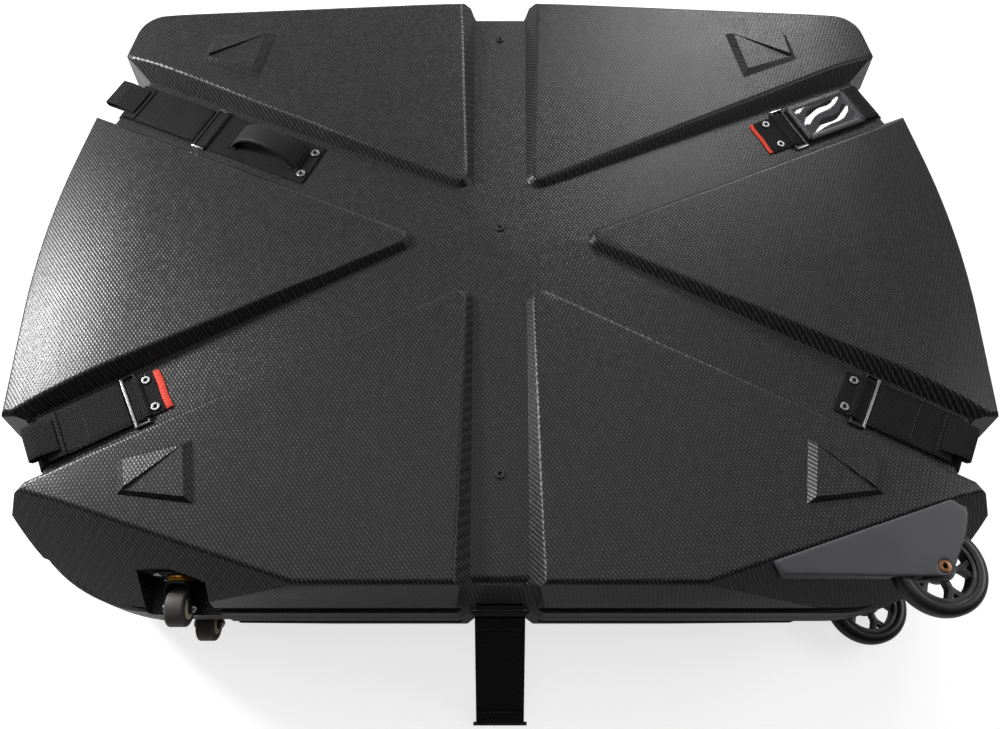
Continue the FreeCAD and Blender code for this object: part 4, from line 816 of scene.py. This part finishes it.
WINDOW_LONG, WINDOW_WIDE = 0.106, 0.070
window_place = floor_place("back_right", 0.5572, 0, 0.0052)
rim = begin_with(bpy.ops.mesh.primitive_plane_add, size=1)
edit(rim)
bpy.ops.transform.resize(value=(WINDOW_LONG, WINDOW_WIDE, 1))
bpy.ops.mesh.bevel(offset=0.005, segments=4, affect="VERTICES")
pick_faces(rim, lambda middle, normal: True)
bpy.ops.mesh.inset(thickness=0.009, depth=0)
bpy.ops.mesh.delete(type="FACE")
leave_edit()
with_modifier(rim, "SOLIDIFY", thickness=0.0018, offset=0)
soften(rim, 0.0006, angle=50)
rim.name = "window_rim"
settle(rim, window_place @ shift((0, 0, 0.0010)))
dress(rim, frame_vinyl, "flap_back_right_body", "window_frame", "window_frame")
rows = []
for inset in (0.0025, 0.0062):
    x, y = WINDOW_LONG / 2 - inset, WINDOW_WIDE / 2 - inset
    for a, b in (((-x, -y), (x, -y)), ((x, -y), (x, y)), ((x, y), (-x, y)), ((-x, y), (-x, -y))):
        rows.append(stitch_row(a, b, 0.0021, pitch=0.004))
seam = join(rows, "window_stitches")
settle(seam, window_place)
dress(seam, thread_grey, "flap_back_right_body", "window_frame")

# %% Clear sheet
WAVE_HEIGHT = 0.00058
SHEET_LONG, SHEET_WIDE = 0.090, 0.054
pane = begin_with(bpy.ops.mesh.primitive_grid_add, x_subdivisions=44, y_subdivisions=28, size=1)
pane.name = "clear_vinyl_sheet"
edit(pane)
bpy.ops.transform.resize(value=(SHEET_LONG, SHEET_WIDE, 1))
leave_edit()
for vertex in pane.data.vertices:
    x, y = vertex.co.x * 1000, vertex.co.y * 1000
    edge = min(1, (45 - abs(x)) / 8) * min(1, (27 - abs(y)) / 8)
    wave = math.sin((0.94 * y - 0.35 * x) / 4.2 + 0.9 * math.sin(x / 11) + 0.6) + 0.3 * math.sin(x / 9 + y / 14)
    vertex.co.z = WAVE_HEIGHT * wave * max(edge, 0)
with_modifier(pane, "SOLIDIFY", thickness=0.0004, offset=0)
settle(pane, window_place @ shift((0, 0, 0.0008)))
clear_vinyl, tree, shader, spots = start_material("clear_vinyl_over_grey_card", IOR=1.5)
scuffs = blotches(tree, spots["Object"], 12, 4.0)
haze = add(tree, "MapRange", {0: scuffs.outputs["Fac"], 1: 0.35, 2: 0.75, 3: 0.05, 4: 0.16})
card = add(tree, "MixRGB", {0: scuffs.outputs["Fac"], 1: hex_colour("#2c2c2e"), 2: hex_colour("#4a4a4d")})
feed(tree, shader, Base_Color=card, Roughness=haze)
dress(pane, clear_vinyl, "flap_back_right_body", "window_pane", "window_pane", smooth=60)

# %% [markdown]
# Rings
# The straps run through flat wire rings. The frame holds them as square bars, so their meshes are copied and their
# edges rounded until the bars look drawn from wire. The rear rings are coated black and worn bright at their ends,
# the front ones show plain zinc on their outer bar.

# %% Strap rings
WIRE_ROUND = 0.0017
rings = node_copy("strap_rings", "strap_wire_rings")
soften(rings, WIRE_ROUND, segments=3)
dress(rings, None, "lid", "ring", "strap_rings", smooth=60)
for material in (black_steel, bright_steel, dull_steel):
    rings.data.materials.append(material)
to_ring = {name: floor_place(name, RING_REACH[name]).inverted() for name in STRAPS}
for polygon in rings.data.polygons:
    name = min(STRAPS, key=lambda n: (to_ring[n] @ polygon.center).length)
    spot = to_ring[name] @ polygon.center
    if name.startswith("back"):
        polygon.material_index = 1 if abs(spot.y) > 0.0375 else 0
    else:
        polygon.material_index = 2 if spot.x > 0.004 and abs(spot.y) < 0.0365 else 0

# %% [markdown]
# Rivets and screws
# Eyelet rivets show a bright rolled rim round a dark hole, and the screws a low domed head with a socket. Each is
# modelled once from a disc: its top is inset, pushed in and its edges rounded. Then it is copied to its places.

# %% One eyelet
def copy_at(piece, place):
    """A copy of a modelled piece with its own mesh, at a place."""
    twin = bpy.data.objects.new(piece.name, piece.data.copy())
    scene.collection.objects.link(twin)
    settle(twin, place)
    return twin


def repeated(model, places, name):
    """Copies of one modelled piece at many places, as one piece; the model goes."""
    group = join([copy_at(model, place) for place in places], name)
    bpy.data.objects.remove(model)
    return group


def prism(corners, radius, depth, level):
    """An upright cylinder, or a nut's hexagon, whose middle is at a level."""
    piece = begin_with(bpy.ops.mesh.primitive_cylinder_add, vertices=corners, radius=radius, depth=depth,
                       location=(0, 0, level))
    settle(piece, Matrix())
    return piece


def eyelet(radius, hole, height):
    """A low disc with a rolled rim round a hole filled with painted shade."""
    piece = prism(28, radius, height, height / 2)
    edit(piece)
    pick_faces(piece, lambda middle, normal: normal.z > 0.9)
    bpy.ops.mesh.inset(thickness=radius - hole, depth=0)
    bpy.ops.mesh.extrude_region_move(TRANSFORM_OT_translate={"value": (0, 0, -height * 0.7)})
    leave_edit()
    soften(piece, height * 0.35, segments=3, angle=50)
    piece.data.materials.append(dull_steel)
    piece.data.materials.append(painted_hole_shade)
    # painted shade: the inside of the hole is filled near-black
    for polygon in piece.data.polygons:
        if math.hypot(polygon.center.x, polygon.center.y) < hole * 0.98 and polygon.center.z < height * 0.75:
            polygon.material_index = 1
    return piece


print("an eyelet is modelled once for each size")

# %% Eyelets and screws in their places
RIVET = (0.0058, 0.0026, 0.0020)  # radius, hole and height
RIVET_SIDE, RIVET_LIFT = 0.021, 0.0023
rivet_places = []
for name, middle in (("back_right", 0.4615), ("front_left", 0.5105), ("front_right", 0.5105)):
    rivet_places += [floor_place(name, middle, side * RIVET_SIDE, RIVET_LIFT) for side in (1, -1)]
dress(repeated(eyelet(*RIVET), rivet_places, "tab_eyelets"), None, "lid", "steel", "anchor_rivets")

rivet_places = [wall_place(name, -1) @ shift((0.0742, side * RIVET_SIDE, RIVET_LIFT))
                for name in STRAPS for side in (1, -1)]
dress(repeated(eyelet(*RIVET), rivet_places, "base_tab_eyelets"), None, "base", "steel", "base_anchor_rivets")

screw_places = [floor_place("back_left", 0.317, side * RIVET_SIDE, RIVET_LIFT) for side in (1, -1)]
handle_screws = repeated(eyelet(0.0066, 0.0030, 0.0024), screw_places, "handle_plate_eyelets")
dress(handle_screws, None, "lid", "steel", "handle_screws")

BACK_SCREW, FRONT_SCREW = 0.398, 0.346  # from the crossing
screw_places = [floor_place("back", BACK_SCREW), floor_place("back", 0.016), floor_place("front", FRONT_SCREW)]
for half in ("lid", "base"):
    heads = repeated(eyelet(0.0060, 0.0024, 0.0024), screw_places, f"{half}_channel_screw_heads")
    heads.data.materials[0] = black_steel
    if half == "base":
        to_base(heads)
    dress(heads, None, half, "steel", f"{half}_channel_screws")

# %% [markdown]
# Front strap
# A wide strap hangs from a small tab at the middle of the front edge, in a flat ring, with a thin bar sewn into the hem
# at its free end. It rests on the floor and swings on its ring. Its face is plain woven cloth.

# %% Front strap, its tab, ring and bar
HINGE = Vector((0, -0.421293, 0.140373))
fall = math.asin((HINGE.z - 0.0028) / 0.1848)
along, out = Vector((0, -math.cos(fall), -math.sin(fall))), Vector((0, -math.sin(fall), math.cos(fall)))
strap_place = Matrix((along, Vector((1, 0, 0)), out)).transposed().to_4x4()
strap_place.translation = HINGE
way = bent_line([(0.0032, 0), (0.060, 0.0012), (0.130, -0.0006), (0.1825, 0)], [0.6, 0.6])
band = bent_strip("front_pull_strap", way, WEBBING_WIDTH, 0.0024, 60, strap_place)
hem = strip("hem", 0.022, 0.0655, 0.0014, 6, place=strap_place @ shift((0.1600, 0, 0.0018)))
fold = strip("fold", 0.020, 0.0655, 0.0014, 6, place=strap_place @ shift((0.0040, 0, 0.0019)))
band = join([band, hem, fold], "front_pull_strap")
dress(band, webbing_black, "front_strap_body", "webbing", "front_strap")
seam_lines = ((0.1625, 0.0026), (0.0215, 0.0027), (0.1775, 0.0026))
seam = join([stitch_row((reach, 0.029), (reach, -0.029), level) for reach, level in seam_lines], "front_strap_stitches")
settle(seam, strap_place)
dress(seam, thread_grey, "front_strap_body", "webbing")

tab_place = wall_place("front", 1) @ shift((-0.026, 0, 0.0012))
tab = strip("front_strap_anchor", 0.024, 0.060, 0.0024, 8, place=tab_place)
dress(tab, webbing_black, "lid", "webbing", "front_strap_tab")
ring = node_copy("front_strap_ring", "front_strap_wire_ring")
soften(ring, WIRE_ROUND, segments=3)
dress(ring, black_steel, "lid", "ring", "front_strap_ring", smooth=60)
bar = node_copy("front_strap_bar", "front_strap_end_bar")
soften(bar, 0.0008)
dress(bar, black_steel, "front_strap_body", "ring", "front_strap_bar", smooth=50)

# %% [markdown]
# Turned pieces
# Tyres, treads and hubs are round, so each is drawn as half a section and spun. The section starts from a plane whose
# corners are merged to a single point, which is then extruded from corner to corner, as a lathe hand would draw it.

# %% Spinning a section
def turned(name, section, steps=72):
    """A solid spun about Z from (radius, height) corners."""
    piece = begin_with(bpy.ops.mesh.primitive_plane_add, size=0.001)
    piece.name = name
    edit(piece)
    bpy.ops.mesh.select_mode(type="VERT")
    bpy.ops.mesh.select_all(action="SELECT")
    bpy.ops.mesh.merge(type="CENTER")
    bpy.ops.transform.translate(value=(section[0][0], 0, section[0][1]))
    for before, after in zip(section, section[1:] + section[:1]):
        step = (after[0] - before[0], 0, after[1] - before[1])
        bpy.ops.mesh.extrude_region_move(TRANSFORM_OT_translate={"value": step})
    bpy.ops.mesh.select_all(action="SELECT")
    bpy.ops.mesh.remove_doubles(threshold=1e-6)
    bpy.ops.mesh.select_all(action="SELECT")
    bpy.ops.mesh.spin(steps=steps, angle=2 * math.pi, center=(0, 0, 0), axis=(0, 0, 1))
    bpy.ops.mesh.select_all(action="SELECT")
    bpy.ops.mesh.remove_doubles(threshold=1e-6)
    bpy.ops.mesh.normals_make_consistent(inside=False)
    leave_edit()
    return piece


def rounded_tread(inner, outer, half, shoulder, lip=0.0):
    """A tyre's section: flat seat, sides with a small step, round shoulders."""
    section = [(inner, -half + lip), (inner, half - lip), (inner + (outer - inner) * 0.22, half)]
    for share in range(0, 91, 15):
        a = math.radians(share)
        section.append((outer - shoulder + shoulder * math.sin(a), half - shoulder + shoulder * math.cos(a)))
    lower = [(r, -z) for r, z in reversed(section[2:])]
    return section + lower


print("a tread's section has", len(rounded_tread(2, 3, 1, 0.5)), "corners")

# %% Tyres and hubs
AXLE_X, AXLE_Y = 0.521, -0.3891285
upside_down = Matrix.Rotation(math.pi, 4, "X")
WHEELS = {"lid": shift((AXLE_X, AXLE_Y, 0.260)),
          "base": shift((AXLE_X, AXLE_Y, 0.040)) @ upside_down}
for half, place in WHEELS.items():
    tyre = turned(f"{half}_rolling_tyre", rounded_tread(0.0418, 0.056, 0.013, 0.0098, 0.0015), steps=96)
    settle(tyre, place)
    dress(tyre, tyre_rubber, f"{half}_wheel", "tyre", f"{half}_tyre", smooth=50)
    hub = node_copy(f"{half}_hub", f"{half}_spoked_hub")
    soften(hub, 0.0008)
    dress(hub, hub_nylon, f"{half}_wheel", "hub", f"{half}_hub", smooth=40)

# %% [markdown]
# Wheel guards
# A moulded guard caps each big wheel and is a little domed, with edges as round as a mould leaves them. The frame's
# guard has sharp edges, so its copy is remeshed finely and smoothed, which rounds every edge at once. Through it runs
# the axle, a bolt whose hexagon socket is cut out of its head by a smaller prism.

# %% Guards
for half in ("lid", "base"):
    guard = node_copy(f"{half}_wheel_guard", f"{half}_moulded_guard")
    with_modifier(guard, "REMESH", mode="VOXEL", voxel_size=0.0016)
    with_modifier(guard, "SMOOTH", factor=0.5, iterations=10)
    dress(guard, guard_plastic, half, "guard", f"{half}_wheel_guard", smooth=80)

# %% Axle bolts
HEAD_DEPTH = 0.003


def rod(radius, low, high, steps=24):
    """A round rod along Z."""
    return turned("rod", [(0.0001, low), (radius, low), (radius, high), (0.0001, high)], steps)


def hex_nut(radius, depth, level, edge):
    nut = prism(6, radius, depth, level)
    with_modifier(nut, "BEVEL", width=edge, segments=2)
    return nut


for half in ("lid", "base"):
    low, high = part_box(f"{half}_axle_bolt")
    head = prism(36, 0.0074, HEAD_DEPTH, -HEAD_DEPTH / 2)
    edit(head)
    pick_faces(head, lambda middle, normal: normal.z > 0.9)  # all of it here, so the head keeps a flat top
    bpy.ops.mesh.inset(thickness=0.0012, depth=0)
    bpy.ops.mesh.extrude_region_move(TRANSFORM_OT_translate={"value": (0, 0, -0.0005)})
    leave_edit()
    socket = prism(6, 0.0034, 0.0036, 0)
    with_modifier(head, "BOOLEAN", object=socket, operation="DIFFERENCE")
    bpy.data.objects.remove(socket)
    soften(head, 0.0003)
    shank_length = (high.z - low.z) - HEAD_DEPTH
    shank = rod(0.004, -HEAD_DEPTH, -HEAD_DEPTH - shank_length)
    bolt = join([head, shank, hex_nut(0.0075, 0.006, -shank_length, 0.0005)], f"{half}_socket_bolt")
    if half == "lid":
        settle(bolt, shift((AXLE_X, AXLE_Y, high.z)))
    else:
        settle(bolt, shift((AXLE_X, AXLE_Y, low.z)) @ upside_down)
    dress(bolt, dark_bronze, half, "bronze", f"{half}_axle_bolt")

# %% [markdown]
# Casters
# Two small casters stand in recesses of the front edge. A caster is a plate with four screws, a swivel race in yellow
# zinc, a bent sheet-steel fork, and a rubber tread on a pale nylon core. The fork is a band bent into a U, narrowed
# towards the axle and drawn back by the caster's trail.

# %% Caster plates and races
CASTER_X, CASTER_Y = -0.398, -0.3841285
CASTER_LEVEL = {"lid": 0.209, "base": 0.091}
CASTERS = {half: shift((CASTER_X, CASTER_Y, level)) @ Matrix.Rotation(math.pi / 2, 4, "X")
           for half, level in CASTER_LEVEL.items()}
for half, place in CASTERS.items():
    plate = node_copy(f"{half}_caster_plate", f"{half}_caster_mounting_plate")
    soften(plate, 0.0008, angle=50)
    dress(plate, black_steel, half, "black_steel", f"{half}_caster_plate")
    spots = [place @ shift((x, y, 0.003)) for x in (-0.022, 0.022) for y in (-0.0164, 0.0164)]
    # these heads come after turned pieces and keep a plain round top
    screws = repeated(eyelet(0.0058, 0.0022, 0.0026), spots, f"{half}_caster_screw_heads")
    screws.data.materials[0] = bright_steel
    dress(screws, None, half, "steel", f"{half}_caster_screws")
    race = turned(f"{half}_swivel_race", [(0.0054, 0.0031), (0.0150, 0.0031), (0.0160, 0.0045), (0.0158, 0.0062),
                                          (0.0148, 0.0068), (0.0156, 0.0078), (0.0150, 0.0099), (0.0054, 0.0099)], 48)
    settle(race, place)
    dress(race, yellow_zinc, half, "chromate", f"{half}_caster_race")

# %% Caster forks
TRAIL = 0.014
FORK_HALF, FORK_TOP, FORK_END = 0.0145, -0.0118, -0.046
for half, place in CASTERS.items():
    way = bent_line([(-FORK_HALF, FORK_END), (-FORK_HALF, FORK_TOP), (FORK_HALF, FORK_TOP), (FORK_HALF, FORK_END)],
                    [0.0095, 0.0095])
    total = line_length(way)
    fork = strip(f"{half}_bent_fork", total, 0.026, 0.0028, 60, edge=0.0006)
    for vertex in fork.data.vertices:
        from_end = min(vertex.co.x, total - vertex.co.x)
        narrow = 1 - 0.42 * min(1, max(0, 1 - (from_end - 0.012) / 0.026)) ** 1.3
        if from_end < 0.008:
            narrow *= math.sqrt(max(1 - ((0.008 - from_end) / 0.0083) ** 2, 0.02))
        vertex.co.y *= narrow
        vertex.co.y -= TRAIL * min(1, max(0, 1 - (from_end - 0.008) / 0.027))
    lay(fork, way, Matrix())
    settle(fork, Matrix.Scale(-1, 4, (0, 0, 1)))
    face_out(fork)
    fork = join([fork, rod(0.0052, 0.0034, 0.0112, 32)], fork.name)
    settle(fork, place)
    dress(fork, black_steel, f"{half}_caster", "black_steel", f"{half}_caster_fork")

# %% Caster wheels and axles
DROP = 0.038
for half, place in CASTERS.items():
    axle_place = place @ shift((0, -TRAIL, DROP)) @ Matrix.Rotation(math.pi / 2, 4, "Y")
    tread = turned(f"{half}_caster_rubber", rounded_tread(0.0138, 0.023, 0.012, 0.0034, 0.0005), steps=64)
    settle(tread, axle_place)
    dress(tread, caster_rubber, f"{half}_caster_wheel", "caster_tread", f"{half}_caster_tread", smooth=50)
    core = turned(f"{half}_caster_hub", [(0.00305, -0.0126), (0.0075, -0.0126), (0.0082, -0.0118), (0.0115, -0.0118),
                                         (0.0122, -0.0126), (0.0139, -0.0124), (0.0139, 0.0124), (0.0122, 0.0126),
                                         (0.0115, 0.0118), (0.0082, 0.0118), (0.0075, 0.0126), (0.00305, 0.0126)], 48)
    settle(core, axle_place)
    dress(core, core_nylon, f"{half}_caster_wheel", "caster_core", f"{half}_caster_core")
    caps = [hex_nut(0.0060, 0.0034, side * 0.0177, 0.0006) for side in (1, -1)]
    dome = turned("dome", [(0.0001, 0.0194), (0.0030, 0.0194), (0.0029, 0.0204), (0.0018, 0.0213),
                           (0.0001, 0.0216)], 24)
    axle = join(caps + [dome, rod(0.0029, -0.0196, 0.0190)], f"{half}_caster_axle_bolt")
    settle(axle, axle_place)
    dress(axle, bright_steel, f"{half}_caster", "steel", f"{half}_caster_axle")

# %% [markdown]
# Inside the case
# What lies inside is seen only when the lid is lifted. Each half has a foam pad, which is a remeshed copy of its frame
# solid, relaxed so that its edges turn soft, and two tie straps held by the channel screws. Nuts, bearings and spacers
# keep their frame shapes and get their metals.

# %% Foam pads
for half in ("lid", "base"):
    pad = node_copy(f"{half}_foam", f"{half}_foam_pad")
    with_modifier(pad, "REMESH", mode="VOXEL", voxel_size=0.006)
    with_modifier(pad, "SMOOTH", factor=0.5, iterations=4)
    dress(pad, foam_grey, half, "foam", f"{half}_foam", smooth=70)

# %% Tie straps and small inner parts
under_floor = shift((-0.150, 0, -0.0041))
for half in ("lid", "base"):
    pair = [strip("tie", 0.170, 0.025, 0.0020, 30, place=floor_place(name, reach) @ under_floor)
            for name, reach in (("back", BACK_SCREW), ("front", FRONT_SCREW))]
    ties = join(pair, f"{half}_tie_bands")
    if half == "base":
        to_base(ties)
    dress(ties, webbing_black, half, "webbing", f"{half}_tie_straps")
inner = {"rim_seal": seal_rubber}
for half in ("lid", "base"):
    inner |= {f"{half}_channel_nuts": dull_steel, f"{half}_bearings": bright_steel, f"{half}_axle_spacers": dull_steel}
for node, material in inner.items():
    nodes[node].data.materials.clear()
    nodes[node].data.materials.append(material)
print("inner parts finished")
